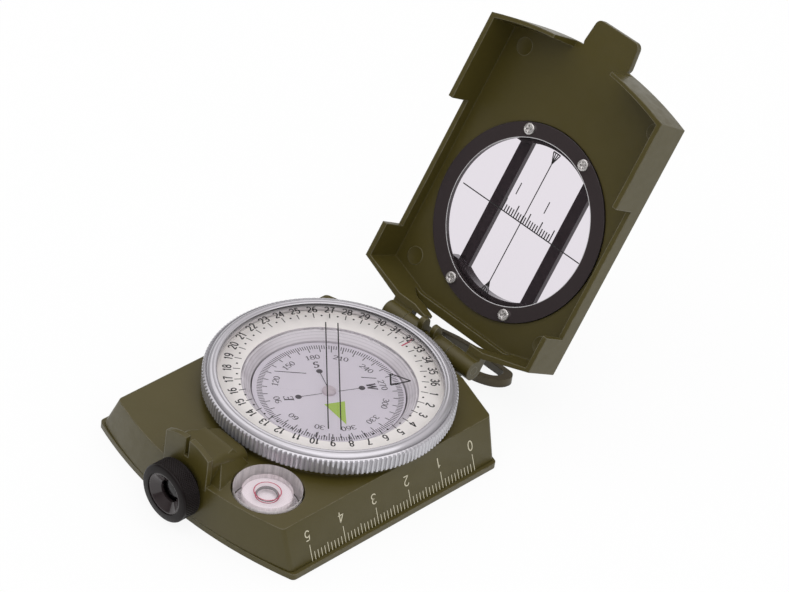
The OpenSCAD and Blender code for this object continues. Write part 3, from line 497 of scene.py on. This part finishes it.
nodeMaterials = {
    "case": olive, "base_plate": olive, "lid": olive, "carry_loop": loopPaint, "loop_pin": steel,
    "base_screws": chrome, "tripod_bush": brass, "hinge_pin": olive,
    "capsule": capsuleWall, "capsule_window": thinClear, "luminous_ring": cream,
    "index_glass": thinClear, "pivot_pin": steel, "card": cardFace, "card_magnet": magnetGrey,
    "jewel_cap": hubPink, "bezel": bezelMetal, "crystal": crystalGlass, "crystal_seal": sealPale,
    "bezel_retainer": steel, "bezel_spring": steel, "level_vial": acrylic, "level_plug": levelWhite,
    "eyepiece_sleeve": satinBlack, "eyepiece_ring": satinBlack, "lens_cell": glossBlack,
    "eyepiece_lens": lensGlass, "window_glass": windowGlass, "window_ring": ringBlack,
    "ring_screws": chrome, "sight_guard": glossBlack,
}
for name, material in nodeMaterials.items():
    nodes[name].data.materials.clear()
    nodes[name].data.materials.append(material)
print("materials made:", len(bpy.data.materials))


# smooth shading on the solids, with their sharp edges kept

shadingLook = {"mergeWithin": 0.0008 * mm, "sharpFrom": math.radians(26)}


def makeShading(look):
    group = bpy.data.node_groups.new("softShading", "GeometryNodeTree")
    group.interface.new_socket("Geometry", in_out="INPUT", socket_type="NodeSocketGeometry")
    group.interface.new_socket("Geometry", in_out="OUTPUT", socket_type="NodeSocketGeometry")
    start = put(group, "NodeGroupInput").outputs[0]
    plain = put(group, "GeometryNodeRemoveAttribute", {"Geometry": start, "Name": "custom_normal"})
    joined = put(group, "GeometryNodeMergeByDistance", {
        "Geometry": plain.outputs[0], "Distance": look["mergeWithin"]})
    smooth = put(group, "GeometryNodeSetShadeSmooth", {
        "Geometry": joined.outputs[0], "Shade Smooth": True}, domain="FACE")
    angle = put(group, "GeometryNodeInputMeshEdgeAngle").outputs[0]
    steep = put(group, "FunctionNodeCompare", {0: angle, 1: look["sharpFrom"]},
                data_type="FLOAT", operation="GREATER_THAN")
    sharp = put(group, "GeometryNodeSetShadeSmooth", {
        "Geometry": smooth.outputs[0], "Selection": steep.outputs[0], "Shade Smooth": False},
        domain="EDGE")
    put(group, "NodeGroupOutput", {"Geometry": sharp.outputs[0]})
    return group


shading = makeShading(shadingLook)
for node in nodes.values():
    node.modifiers.new("softShading", "NODES").node_group = shading
print("solids shaded")


def addObject(name, data):
    thing = bpy.data.objects.new(name, data)
    bpy.context.scene.collection.objects.link(thing)
    return thing


def addPiece(name, points, faces, material, body, sharpFrom=None):
    mesh = bpy.data.meshes.new(name)
    mesh.from_pydata([tuple(point) for point in points], [], faces)
    mesh.materials.append(material)
    mesh.update()
    if sharpFrom is not None:
        mesh.shade_smooth()
        mesh.set_sharp_from_angle(angle=math.radians(sharpFrom))
    piece = addObject(name, mesh)
    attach(piece, body)
    return piece


def turnProfile(profile, columns, place):
    # closed profile of (radius, height, relief share), swept round; place turns it into a point
    points = []
    faces = []
    count = len(profile)
    for column in range(columns):
        for radius, height, relief in profile:
            points.append(place(radius, height, relief, column))
    for column in range(columns):
        following = (column + 1) % columns
        for row in range(count):
            nextRow = (row + 1) % count
            faces.append((column * count + row, following * count + row,
                          following * count + nextRow, column * count + nextRow))
    return points, faces


# turning bezel with its straight knurl

bezelLook = {
    "radius": 28.8, "footZ": 12.5, "shoulderZ": 16.1, "bore": 26.4,
    # points of the outside as distance in, height and share of the knurl's depth
    "foot": ((0.3, 0.0, 0.6), (0.0, 0.3, 1.0), (0.0, 1.5, 1.0)),
    "shoulder": ((0.0, -0.25, 1.0), (0.12, 0.03, 0.75), (0.4, 0.24, 0.15), (0.72, 0.4, 0)),
    "groove": ((0.8, 0.2, 0), (0.96, 0.16, 0), (1.06, 0.34, 0)),
    "lip": ((1.3, 0.66, 0), (1.6, 0.9, 0), (1.95, 1.03, 0), (2.2, 1.05, 0), (2.35, 0.98, 0),
            (2.75, 0.97, 0), (2.9, 1.03, 0), (3.1, 1.0, 0), (3.3, 0.87, 0)),
    # seat of the glass and groove of the retainer, as radius and height
    "inside": ((26.2, 16.97), (26.2, 15.95), (26.4, 15.95), (26.4, 13.98),
               (26.75, 13.98), (26.75, 13.22), (26.4, 13.22)),
    "sharpFrom": 24,
    "teeth": 160, "toothDepth": 0.4,
    "toothShape": ((0.0, 0.0), (0.16, 0.0), (0.4, 0.1), (0.56, 0.8), (0.68, 1.0), (0.84, 0.8)),
}


def makeBezel(look):
    outer = look["radius"]
    foot = look["footZ"]
    shoulder = look["shoulderZ"]
    profile = [(look["bore"], foot, 0)]
    profile += [(outer - inward, foot + rise, relief) for inward, rise, relief in look["foot"]]
    for part in ("shoulder", "groove", "lip"):
        profile += [(outer - inward, shoulder + rise, relief) for inward, rise, relief in look[part]]
    profile += [(radius, height, 0) for radius, height in look["inside"]]
    shape = look["toothShape"]
    columns = look["teeth"] * len(shape)

    def place(radius, height, relief, column):
        part, cut = shape[column % len(shape)]
        angle = (column // len(shape) + part) * math.tau / look["teeth"]
        reach = (radius - cut * relief * look["toothDepth"]) * mm
        return (reach * math.cos(angle), reach * math.sin(angle), height * mm)

    points, faces = turnProfile(profile, columns, place)
    piece = addPiece("knurled_bezel", points, faces, bezelMetal, "turning_bezel", look["sharpFrom"])
    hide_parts("bezel")
    return piece


makeBezel(bezelLook)
print("bezel made")


# focusing ring of the eyepiece with its diamond knurl

gripLook = {
    "wallY": -43.6, "axisZ": 7.45, "radius": 6.9, "rear": 0.7, "front": 5.3,
    # the knurl's ends, from the rear and from the front
    "bevel": 0.2, "knurlFrom": 0.3, "knurlTo": 0.75,
    # points of the front lip as distance in and distance back from the front
    "lip": ((0.0, 0.66), (0.0, 0.4), (0.1, 0.18), (0.35, 0.0)),
    "mouth": 5.0, "stepAt": 2.7, "bore": 6.05, "sharpFrom": 40,
    "around": 64, "columnsPerPitch": 8, "rowStep": 0.1, "pitch": 0.66, "depth": 0.16, "steepness": 1.6,
}


def makeGrip(look):
    outer = look["radius"]
    rear = look["rear"]
    front = look["front"]
    rows = [(outer - look["bevel"], rear, 0), (outer, rear + look["bevel"], 0)]
    height = rear + look["knurlFrom"]
    while height < front - look["knurlTo"]:
        rows.append((outer, height, 1))
        height += look["rowStep"]
    rows += [(outer - inward, front - back, 0) for inward, back in look["lip"]]
    rows += [(look["mouth"], front, 0), (look["mouth"], look["stepAt"], 0),
             (look["bore"], look["stepAt"], 0), (look["bore"], rear, 0)]
    columns = look["around"] * look["columnsPerPitch"]

    def place(radius, height, relief, column):
        turn = column / look["columnsPerPitch"]
        first = abs((turn + height / look["pitch"]) % 1.0 - 0.5) * 2
        second = abs((turn - height / look["pitch"]) % 1.0 - 0.5) * 2
        cut = 1 - min(1.0, look["steepness"] * min(first, second))
        angle = column * math.tau / columns
        reach = radius - cut * relief * look["depth"]
        return (reach * math.cos(angle) * mm, (look["wallY"] - height) * mm,
                (look["axisZ"] + reach * math.sin(angle)) * mm)

    points, faces = turnProfile(rows, columns, place)
    piece = addPiece("knurled_grip", points, faces, satinBlack, "focus_ring", look["sharpFrom"])
    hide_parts("eyepiece_ring")
    return piece


makeGrip(gripLook)
print("focusing ring made")


# strokes for numbers, letters and marks

def arc(x, y, width, height, start, end, steps=14):
    angles = [math.radians(start + (end - start) * k / steps) for k in range(steps + 1)]
    return [(x + width * math.cos(a), y + height * math.sin(a)) for a in angles]


def turnedOver(strokes):
    return [[(-x, -y) for x, y in stroke] for stroke in strokes]


sixStrokes = [arc(0, -0.18, 0.235, 0.265, 0, 360, 24), arc(0.04, -0.14, 0.275, 0.585, 62, 180)]
glyphs = {
    "0": [arc(0, 0, 0.235, 0.445, 0, 360, 28)],
    "1": [[(-0.15, 0.24), (0.0, 0.32), (0.05, 0.445)], [(0.05, 0.445), (0.05, -0.5)]],
    "2": [arc(0, 0.19, 0.235, 0.255, 168, -38) + [(-0.25, -0.44)], [(-0.25, -0.44), (0.26, -0.44)]],
    "3": [arc(-0.01, 0.215, 0.215, 0.23, 158, -88) + arc(-0.01, -0.22, 0.245, 0.225, 88, -160)],
    "4": [[(0.12, 0.445), (-0.27, -0.2), (0.29, -0.2)], [(0.12, 0.445), (0.12, -0.5)]],
    "5": [[(0.21, 0.44), (-0.16, 0.44), (-0.21, 0.0)], arc(-0.01, -0.15, 0.245, 0.295, 140, -152)],
    "6": sixStrokes,
    "7": [[(-0.25, 0.44), (0.25, 0.44), (0.06, 0.06), (-0.06, -0.5)]],
    "8": [arc(0, 0.225, 0.2, 0.22, 0, 360, 24), arc(0, -0.215, 0.24, 0.23, 0, 360, 24)],
    "9": turnedOver(sixStrokes),
    "S": [arc(0, 0.215, 0.22, 0.23, 35, 270) + arc(0, -0.22, 0.24, 0.225, 90, -145)],
    "E": [[(-0.2, 0.47), (-0.2, -0.47)], [(-0.2, 0.46), (0.26, 0.46)], [(-0.2, 0.01), (0.16, 0.01)],
          [(-0.2, -0.46), (0.28, -0.46)]],
    "W": [[(-0.42, 0.47), (-0.21, -0.47), (0.0, 0.4), (0.21, -0.47), (0.42, 0.47)]],
}
serifs = {
    "1": [[(-0.12, -0.48), (0.22, -0.48)]],
    "4": [[(0.0, -0.48), (0.24, -0.48)]],
    "7": [[(-0.25, 0.45), (-0.25, 0.28)]],
    "E": [[(-0.34, 0.47), (-0.1, 0.47)], [(-0.34, -0.47), (-0.1, -0.47)], [(0.26, 0.46), (0.26, 0.3)],
          [(0.28, -0.46), (0.31, -0.27)], [(0.16, 0.12), (0.16, -0.1)]],
    "W": [[(-0.54, 0.47), (-0.3, 0.47)], [(0.3, 0.47), (0.54, 0.47)], [(-0.1, 0.47), (0.1, 0.47)]],
    "S": [[(0.2, 0.46), (0.2, 0.28)], [(-0.22, -0.46), (-0.22, -0.26)]],
}


strokeLook = {"corner": 0.75, "overrun": 0.4, "sharpestJoin": 0.6, "loopFrom": 8, "narrowOne": 0.8}


class Marks:
    # gathers flat strokes, dots and patches, and lays them on a surface as one mesh
    def __init__(self):
        self.points = []
        self.faces = []

    def addFaces(self, points, faces):
        start = len(self.points)
        self.points += points
        self.faces += [tuple(start + index for index in face) for face in faces]

    def run(self, line, wide, tall, place):
        # one ribbon with a pen wide across and tall along the letter
        line = np.array(line, float)
        steps = np.diff(line, axis=0)
        steps /= np.maximum(np.linalg.norm(steps, axis=1, keepdims=True), 1e-9)
        closed = np.allclose(line[0], line[-1]) and len(line) > strokeLook["loopFrom"]
        before = np.vstack([steps[-1:] if closed else steps[:1], steps])
        after = np.vstack([steps, steps[:1] if closed else steps[-1:]])
        mean = before + after
        mean /= np.maximum(np.linalg.norm(mean, axis=1, keepdims=True), 1e-9)
        side = np.stack([-mean[:, 1], mean[:, 0]], 1)
        half = 0.5 * np.hypot(side[:, 0] * wide, side[:, 1] * tall)
        half /= np.clip(np.einsum("ij,ij->i", mean, after), strokeLook["sharpestJoin"], 1.0)
        left = line + side * half[:, None]
        right = line - side * half[:, None]
        points = [place(x, y) for pair in zip(left, right) for x, y in pair]
        faces = [(2 * k, 2 * k + 1, 2 * k + 3, 2 * k + 2) for k in range(len(line) - 1)]
        self.addFaces(points, faces)

    def stroke(self, line, wide, tall, place):
        # a sharp corner ends one ribbon and starts the next, and both run a little past it
        line = [np.array(point, float) for point in line]
        overrun = strokeLook["overrun"] * min(wide, tall)
        start = 0
        for k in range(1, len(line)):
            last = k == len(line) - 1
            corner = False
            if not last:
                one = line[k] - line[k - 1]
                two = line[k + 1] - line[k]
                cosine = one @ two / max(np.linalg.norm(one) * np.linalg.norm(two), 1e-9)
                corner = cosine < strokeLook["corner"]
            if last or corner:
                part = [point.copy() for point in line[start:k + 1]]
                if start > 0:
                    away = part[0] - part[1]
                    part[0] += away / np.linalg.norm(away) * overrun
                if corner:
                    away = part[-1] - part[-2]
                    part[-1] += away / np.linalg.norm(away) * overrun
                self.run(part, wide, tall, place)
                start = k

    def bar(self, low, high, pen, place, across=0.0):
        self.stroke([(across, low), (across, high)], pen, pen, place)

    def text(self, words, height, pen, place, advance=0.66, serif=False, slant=0.0, squeeze=1.0):
        # pen is the thickness of upright and level strokes as a share of the height
        narrow = 1.0 if serif else strokeLook["narrowOne"]
        widths = [advance * (narrow if letter == "1" else 1.0) for letter in words]
        left = -sum(widths) / 2
        for letter, width in zip(words, widths):
            strokes = list(glyphs[letter])
            middle = left + width / 2
            left += width

            def onPlace(x, y, middle=middle):
                return place((x * squeeze + middle + slant * y) * height, y * height)

            for line in strokes:
                self.stroke(line, pen[0] / squeeze, pen[1], onPlace)
            if serif:
                for line in serifs.get(letter, []):
                    self.stroke(line, pen[1], pen[1], onPlace)

    def dot(self, radius, place, sides=14):
        rim = [place(radius * math.cos(math.tau * k / sides),
                     radius * math.sin(math.tau * k / sides)) for k in range(sides)]
        self.addFaces(rim, [tuple(range(sides))])

    def build(self, name, material, body):
        return addPiece(name, self.points, self.faces, material, body)


def ringPlace(radius, degrees, z, middle=(0.0, 0.0)):
    # letter frame on a level ring: up is outward, and right is clockwise seen from above
    angle = math.radians(degrees)
    outward = (math.cos(angle), math.sin(angle))
    along = (math.sin(angle), -math.cos(angle))

    def place(x, y):
        return ((middle[0] + outward[0] * (radius + y) + along[0] * x) * mm,
                (middle[1] + outward[1] * (radius + y) + along[1] * x) * mm, z * mm)
    return place


# print on the bezel's glass

crystalLook = {
    "z": 16.99, "numberRadius": 23.33, "numberHeight": 2.05, "pen": (0.165, 0.15), "squeeze": 0.88,
    "advance": 0.62,
    "dotRing": 21.14, "dotRadius": 0.26, "tick": (20.32, 21.95), "tickWidth": 0.23,
    "step": 10.0, "lineAngle": 47.54, "lineWidth": 0.28, "dashPen": 0.8, "trianglePen": 1.4,
    "lines": (-0.95, 1.84), "lineFrom": -18.8, "lineTo": 18.6,
    "dashes": ((-12.7, -5.6), (6.7, 10.1)),
    "triangle": ((13.3, -2.0), (13.3, 2.0), (17.8, 0.0)),
}


def makeCrystalPrint(look):
    marks = Marks()
    for number in range(1, 37):
        degrees = look["lineAngle"] - look["step"] * number
        spot = ringPlace(look["numberRadius"], degrees, look["z"])
        marks.text(str(number), look["numberHeight"], look["pen"], spot, look["advance"],
                   squeeze=look["squeeze"])
        marks.bar(*look["tick"], look["tickWidth"], ringPlace(0, degrees, look["z"]))
        spot = ringPlace(look["dotRing"], degrees + look["step"] / 2, look["z"])
        marks.dot(look["dotRadius"], spot)
    # x runs along the pair of lines, and y towards 36
    spot = ringPlace(0, look["lineAngle"], look["z"])
    pen = look["lineWidth"]
    for offset in look["lines"]:
        marks.stroke([(look["lineFrom"], offset), (look["lineTo"], offset)], pen, pen, spot)
    for low, high in look["dashes"]:
        marks.bar(low, high, look["dashPen"] * pen, spot)
    base, baseEnd, tip = [(x, y) for y, x in look["triangle"]]
    trianglePen = look["trianglePen"] * pen
    for line in ([base, baseEnd], [baseEnd, tip], [tip, base]):
        marks.stroke(line, trianglePen, trianglePen, spot)
    piece = marks.build("crystal_print", inkCrystal, "turning_bezel")


makeCrystalPrint(crystalLook)


# print on the compass card

cardLook = {
    "z": 12.23, "middle": (0.4, 0.04), "north": -24.35, "tickStep": 2,
    "longTick": (14.2, 16.55), "shortTick": (15.3, 16.55), "tickWidth": (0.21, 0.19),
    "numberRadius": 12.52, "numberHeight": 1.5, "numberPen": (0.16, 0.075), "numberAdvance": 0.8,
    "numberSqueeze": 1.25,
    "letters": (("E", 90), ("S", 180), ("W", 270)), "letterSlant": 0.2,
    "letterRadius": 9.9, "letterHeight": 2.15, "letterPen": (0.19, 0.08), "dotRing": 7.55,
    "dotRadius": 0.74, "spokeFrom": 1.95, "spokeWidth": 0.17,
    "pointer": ((3.62, -2.2), (3.62, 2.7), (11.25, 0.1)),
}


def makeCardPrint(look):
    marks = Marks()
    z = look["z"]

    def ringSpot(radius, degrees):
        return ringPlace(radius, look["north"] - degrees, z, look["middle"])

    for degrees in range(0, 360, look["tickStep"]):
        tens = degrees % 10 == 0
        low, high = look["longTick"] if tens else look["shortTick"]
        marks.bar(low, high, look["tickWidth"][0 if tens else 1], ringSpot(0, degrees))
    for degrees in range(30, 390, 30):
        spot = ringSpot(look["numberRadius"], degrees)
        marks.text(str(degrees), look["numberHeight"], look["numberPen"], spot,
                   look["numberAdvance"], serif=True, squeeze=look["numberSqueeze"])
    for letter, degrees in look["letters"]:
        spot = ringSpot(look["letterRadius"], degrees)
        marks.text(letter, look["letterHeight"], look["letterPen"], spot, serif=True,
                   slant=look["letterSlant"])
        marks.dot(look["dotRadius"], ringSpot(look["dotRing"], degrees), 20)
        marks.bar(look["spokeFrom"], look["dotRing"], look["spokeWidth"], ringSpot(0, degrees))
    piece = marks.build("card_marks", inkGrey, "dial_card")
    pointer = Marks()
    spot = ringSpot(0, 0)
    corners = [spot(x, y) for y, x in look["pointer"]]
    pointer.addFaces(corners, [(0, 1, 2)])
    piece = pointer.build("north_pointer", inkGreen, "dial_card")


makeCardPrint(cardLook)


# centimetre scale on the sloping wall

scaleLook = {
    "footX": 30.921, "footZ": 1.5, "slope": 0.42145, "lift": 0.03,
    "zeroY": 17.45, "millimetres": 50, "tickFrom": 1.55, "centimetreTo": 5.2, "shortTo": 3.35,
    "fiveTo": 3.75, "tickWidth": 0.2, "digitZ": 7.22, "digitHeight": 2.55, "pen": (0.11, 0.1),
    "digitShift": 0.15,
}


def makeScale(look):
    lean = math.hypot(1.0, look["slope"])

    def onWall(y, z):
        x = look["footX"] - look["slope"] * (z - look["footZ"])
        return ((x + look["lift"] / lean) * mm, y * mm, (z + look["lift"] * look["slope"] / lean) * mm)

    def digitPlace(y, z):
        # tops point down the wall, and the row reads from the hinge to the eyepiece
        def place(x, up):
            return onWall(y - x, z - up / lean)
        return place

    marks = Marks()
    for step in range(look["millimetres"] + 1):
        y = look["zeroY"] - step
        top = look["centimetreTo"] if step % 10 == 0 else look["fiveTo"] if step % 5 == 0 else look["shortTo"]
        marks.bar(look["tickFrom"], top, look["tickWidth"], onWall, y)
    for digit in range(look["millimetres"] // 10 + 1):
        y = look["zeroY"] - look["digitShift"] - 10 * digit
        marks.text(str(digit), look["digitHeight"], look["pen"], digitPlace(y, look["digitZ"]))
    piece = marks.build("centimetre_scale", inkScale, "base")


makeScale(scaleLook)


# red index line on the luminous ring

# each run of the line: height, inner and outer radius
indexLook = {"angle": 90.0, "runs": ((14.64, 22.4, 25.08), (14.89, 25.14, 26.25)), "width": 0.38}


def makeIndex(look):
    marks = Marks()
    for height, inner, outer in look["runs"]:
        marks.bar(inner, outer, look["width"], ringPlace(0, look["angle"], height))
    piece = marks.build("index_line", inkRed, "base")


makeIndex(indexLook)


# round level: red circle with a painted image of it, and the bubble's painted dark rim

# the lower, smaller circle is no second print: it is painted light, an image of the upper circle seen deeper
# in the level
levelLook = {
    "x": 15.2, "y": -32.5, "circles": ((10.46, 3.0), (9.33, 2.6)), "circleWidth": 0.24,
    "bubbleShift": (0.5, -0.6), "bubbleRadius": 2.3, "bubbleZ": 10.2, "bubbleTube": (0.1, 0.3),
    "tubeShape": (1.4, 0.8), "thickSide": 128.0, "columns": 72, "sides": 12, "sharpFrom": 60,
}


def makeLevel(look):
    marks = Marks()
    for height, radius in look["circles"]:
        circle = arc(0, 0, radius, radius, 0, 360, look["columns"])

        def place(x, y, height=height):
            return ((look["x"] + x) * mm, (look["y"] + y) * mm, height * mm)

        marks.stroke(circle, look["circleWidth"], look["circleWidth"], place)
    piece = marks.build("level_circle_and_painted_image", inkRed, "base")
    # the bubble's rim, a dark ring of painted shade where its skin meets the liquid, thickest on the far side
    thin, thick = look["bubbleTube"]
    wide, tall = look["tubeShape"]
    rows = []
    for k in range(look["sides"]):
        angle = math.tau * k / look["sides"]
        rows.append((math.cos(angle), math.sin(angle), 0))

    def onRing(across, up, relief, column):
        angle = column * math.tau / look["columns"]
        toward = 0.5 + 0.5 * math.cos(angle - math.radians(look["thickSide"]))
        tube = thin + (thick - thin) * toward ** 2
        reach = look["bubbleRadius"] + across * tube * wide
        x = look["x"] + look["bubbleShift"][0] + reach * math.cos(angle)
        y = look["y"] + look["bubbleShift"][1] + reach * math.sin(angle)
        return (x * mm, y * mm, (look["bubbleZ"] + up * tube * tall) * mm)

    points, faces = turnProfile(rows, look["columns"], onRing)
    piece = addPiece("level_bubble_dark_rim", points, faces, bubbleRimShade, "base", look["sharpFrom"])


makeLevel(levelLook)
print("dial, scale and level marked")


# sighting marks on the lid's window

sightLook = {
    "w": -0.66, "crossLine": (-18.5, 19.0), "sightLine": (-15.6, 15.6), "sightU": 0.2, "line": 0.28,
    "fan": {"base": 18.2, "tip": 15.5, "halfWidth": 1.05, "pen": 0.3, "spokes": (-1, -0.35, 0.35, 1)},
    "dashes": {"u": (-4.5, 4.5), "v": (4.9, 7.9)},
    "scale": {"from": -6.0, "to": 9.1, "count": 21, "longEvery": 5, "long": 3.1, "short": 1.75, "pen": 0.32},
}


def makeSightMarks(look):
    marks = Marks()

    def place(u, v):
        return lidPoint(u, lidLook["windowV"] + v, look["w"])

    pen = look["line"]
    marks.stroke([(look["crossLine"][0], 0), (look["crossLine"][1], 0)], pen, pen, place)
    marks.bar(*look["sightLine"], pen, place, look["sightU"])
    fan = look["fan"]
    for way in (1, -1):
        tip = (look["sightU"], way * fan["tip"])
        for offset in fan["spokes"]:
            end = (look["sightU"] + offset * fan["halfWidth"], way * fan["base"])
            marks.stroke([tip, end], fan["pen"], fan["pen"], place)
        corners = [(look["sightU"] + side * fan["halfWidth"], way * fan["base"]) for side in (-1, 1)]
        marks.stroke(corners, fan["pen"], fan["pen"], place)
    for u in look["dashes"]["u"]:
        marks.bar(*look["dashes"]["v"], pen, place, u)
    scale = look["scale"]
    for k in range(scale["count"]):
        u = scale["from"] + (scale["to"] - scale["from"]) * k / (scale["count"] - 1)
        top = scale["long"] if k % scale["longEvery"] == 0 else scale["short"]
        marks.bar(0, top, scale["pen"], place, u)
    piece = marks.build("sighting_marks", inkCrystal, "lid")


makeSightMarks(sightLook)


# round ejector marks left in the lid's floor by its mould

ejectorLook = {"places": ((-20.5, 67.0), (20.5, 67.0), (-20.5, 11.4), (20.5, 11.4)),
               # the ring's points as distance in and height, from outside to inside
               "radius": 2.25, "ring": ((0.0, -0.02), (0.12, 0.1), (0.3, 0.02)),
               "sides": 48, "sharpFrom": 50}


def makeEjectorMarks(look):
    points = []
    faces = []
    sides = look["sides"]
    last = len(look["ring"]) - 1
    for u, v in look["places"]:
        start = len(points)
        for inward, rise in look["ring"]:
            radius = look["radius"] - inward
            for k in range(sides):
                angle = math.tau * k / sides
                points.append(lidPoint(u + radius * math.cos(angle), v + radius * math.sin(angle), rise))
        for row in range(last):
            for k in range(sides):
                one = start + row * sides + k
                two = start + row * sides + (k + 1) % sides
                faces.append((one, two, two + sides, one + sides))
        faces.append(tuple(start + last * sides + k for k in range(sides)))
    piece = addPiece("ejector_marks", points, faces, olive, "lid", look["sharpFrom"])


makeEjectorMarks(ejectorLook)
print("lid marked")


# floor, light and camera

floorLook = {"size": 6.0, "z": -0.02 * mm, "colour": (0.86, 0.86, 0.86), "glow": 0.9,
             "fibreScale": 700, "fibreTone": 0.99}


def backdropRays(tree):
    # 1 for the rays that show the backdrop itself, also in metal and through glass
    path = put(tree, "ShaderNodeLightPath").outputs
    seen = sums(tree, "MAXIMUM", path["Is Camera Ray"], path["Is Glossy Ray"])
    return path, sums(tree, "MAXIMUM", seen, path["Is Transmission Ray"])


def makeFloor(look):
    half = look["size"] / 2
    mesh = bpy.data.meshes.new("studioFloor")
    corners = [(-half, -half, look["z"]), (half, -half, look["z"]), (half, half, look["z"]),
               (-half, half, look["z"])]
    mesh.from_pydata(corners, [], [(0, 1, 2, 3)])
    floor = addObject("studioFloor", mesh)
    material, tree = newTree("studioPaper")
    where = places(tree)
    fibre = noiseAt(tree, where, look["fibreScale"], 3.0)
    darker = [look["fibreTone"] * c for c in look["colour"]]
    tone = blendColours(tree, fibre, rgba(look["colour"]), rgba(darker))
    paper = put(tree, "ShaderNodeBsdfDiffuse", {"Color": tone})
    white = put(tree, "ShaderNodeEmission", {"Color": whiteColour, "Strength": 1.0})
    share = sums(tree, "MULTIPLY", backdropRays(tree)[1], look["glow"])
    mixed = put(tree, "ShaderNodeMixShader", {0: share, 1: paper.outputs[0], 2: white.outputs[0]})
    finishTree(tree, mixed.outputs[0])
    mesh.materials.append(material)


worldLook = {
    "tint": (1.0, 0.945, 0.965), "light": 0.8, "seen": 1.0,
    "wallHeight": (0.15, 0.9), "wallShade": (0.13, 0.9),
}


def makeWorld(look):
    world = bpy.data.worlds.new("studioWorld")
    bpy.context.scene.world = world
    world.use_nodes = True
    tree = world.node_tree
    tree.nodes.clear()
    path, seen = backdropRays(tree)
    # the room is bright overhead, and its walls are in shade near the table
    way = put(tree, "ShaderNodeTexCoord").outputs["Generated"]
    height = put(tree, "ShaderNodeSeparateXYZ", {0: way}).outputs["Z"]
    wall = spread(tree, height, *look["wallHeight"], *look["wallShade"])
    shaded = sums(tree, "MAXIMUM", wall, sums(tree, "SUBTRACT", 1.0, path["Is Glossy Ray"]))
    strength = spread(tree, seen, 0.0, 1.0, look["light"], look["seen"])
    strength = sums(tree, "MULTIPLY", strength, shaded)
    # reflections of the room are slightly pink, and the backdrop itself is white
    tone = blendColours(tree, path["Is Glossy Ray"], whiteColour, rgba(look["tint"]))
    back = put(tree, "ShaderNodeBackground", {"Color": tone, "Strength": strength})
    put(tree, "ShaderNodeOutputWorld", {"Surface": back.outputs[0]})


lampAim = (0.0, 0.02, 0.02)
lampLook = {
    "key": {"from": (0.35, -0.05, 0.9), "size": 1.1, "power": 3.6},
    "fill": {"from": (-0.55, 0.1, 0.75), "size": 0.8, "power": 1.3},
}


def makeLamps(look):
    aim = Vector(lampAim)
    for name, lamp in look.items():
        data = bpy.data.lights.new(name + "Lamp", "AREA")
        data.shape = "SQUARE"
        data.size = lamp["size"]
        data.energy = lamp["power"]
        holder = addObject(name + "Lamp", data)
        start = Vector(lamp["from"])
        holder.location = start
        holder.rotation_euler = (aim - start).to_track_quat("-Z", "Y").to_euler()


cameraLook = {
    "place": (434.6, -490.5, 549.9),
    "right": (0.6924, 0.7119, 0.1170), "up": (-0.5066, 0.3644, 0.7816), "back": (0.5138, -0.6004, 0.6129),
    "lens": 173.1, "sensor": 36.0, "clip": (0.01, 20.0),
}


def makeCamera(look):
    data = bpy.data.cameras.new("photoCamera")
    data.lens = look["lens"]
    data.sensor_width = look["sensor"]
    data.sensor_fit = "HORIZONTAL"
    data.clip_start, data.clip_end = look["clip"]
    camera = addObject("photoCamera", data)
    turn = Matrix([look["right"], look["up"], look["back"]]).transposed()
    camera.matrix_world = Matrix.Translation(Vector(look["place"]) * mm) @ turn.to_4x4()
    bpy.context.scene.camera = camera


makeFloor(floorLook)
makeWorld(worldLook)
makeLamps(lampLook)
makeCamera(cameraLook)
bpy.context.scene.view_settings.view_transform = "Standard"
print("studio ready")

bpy.context.view_layer.update()
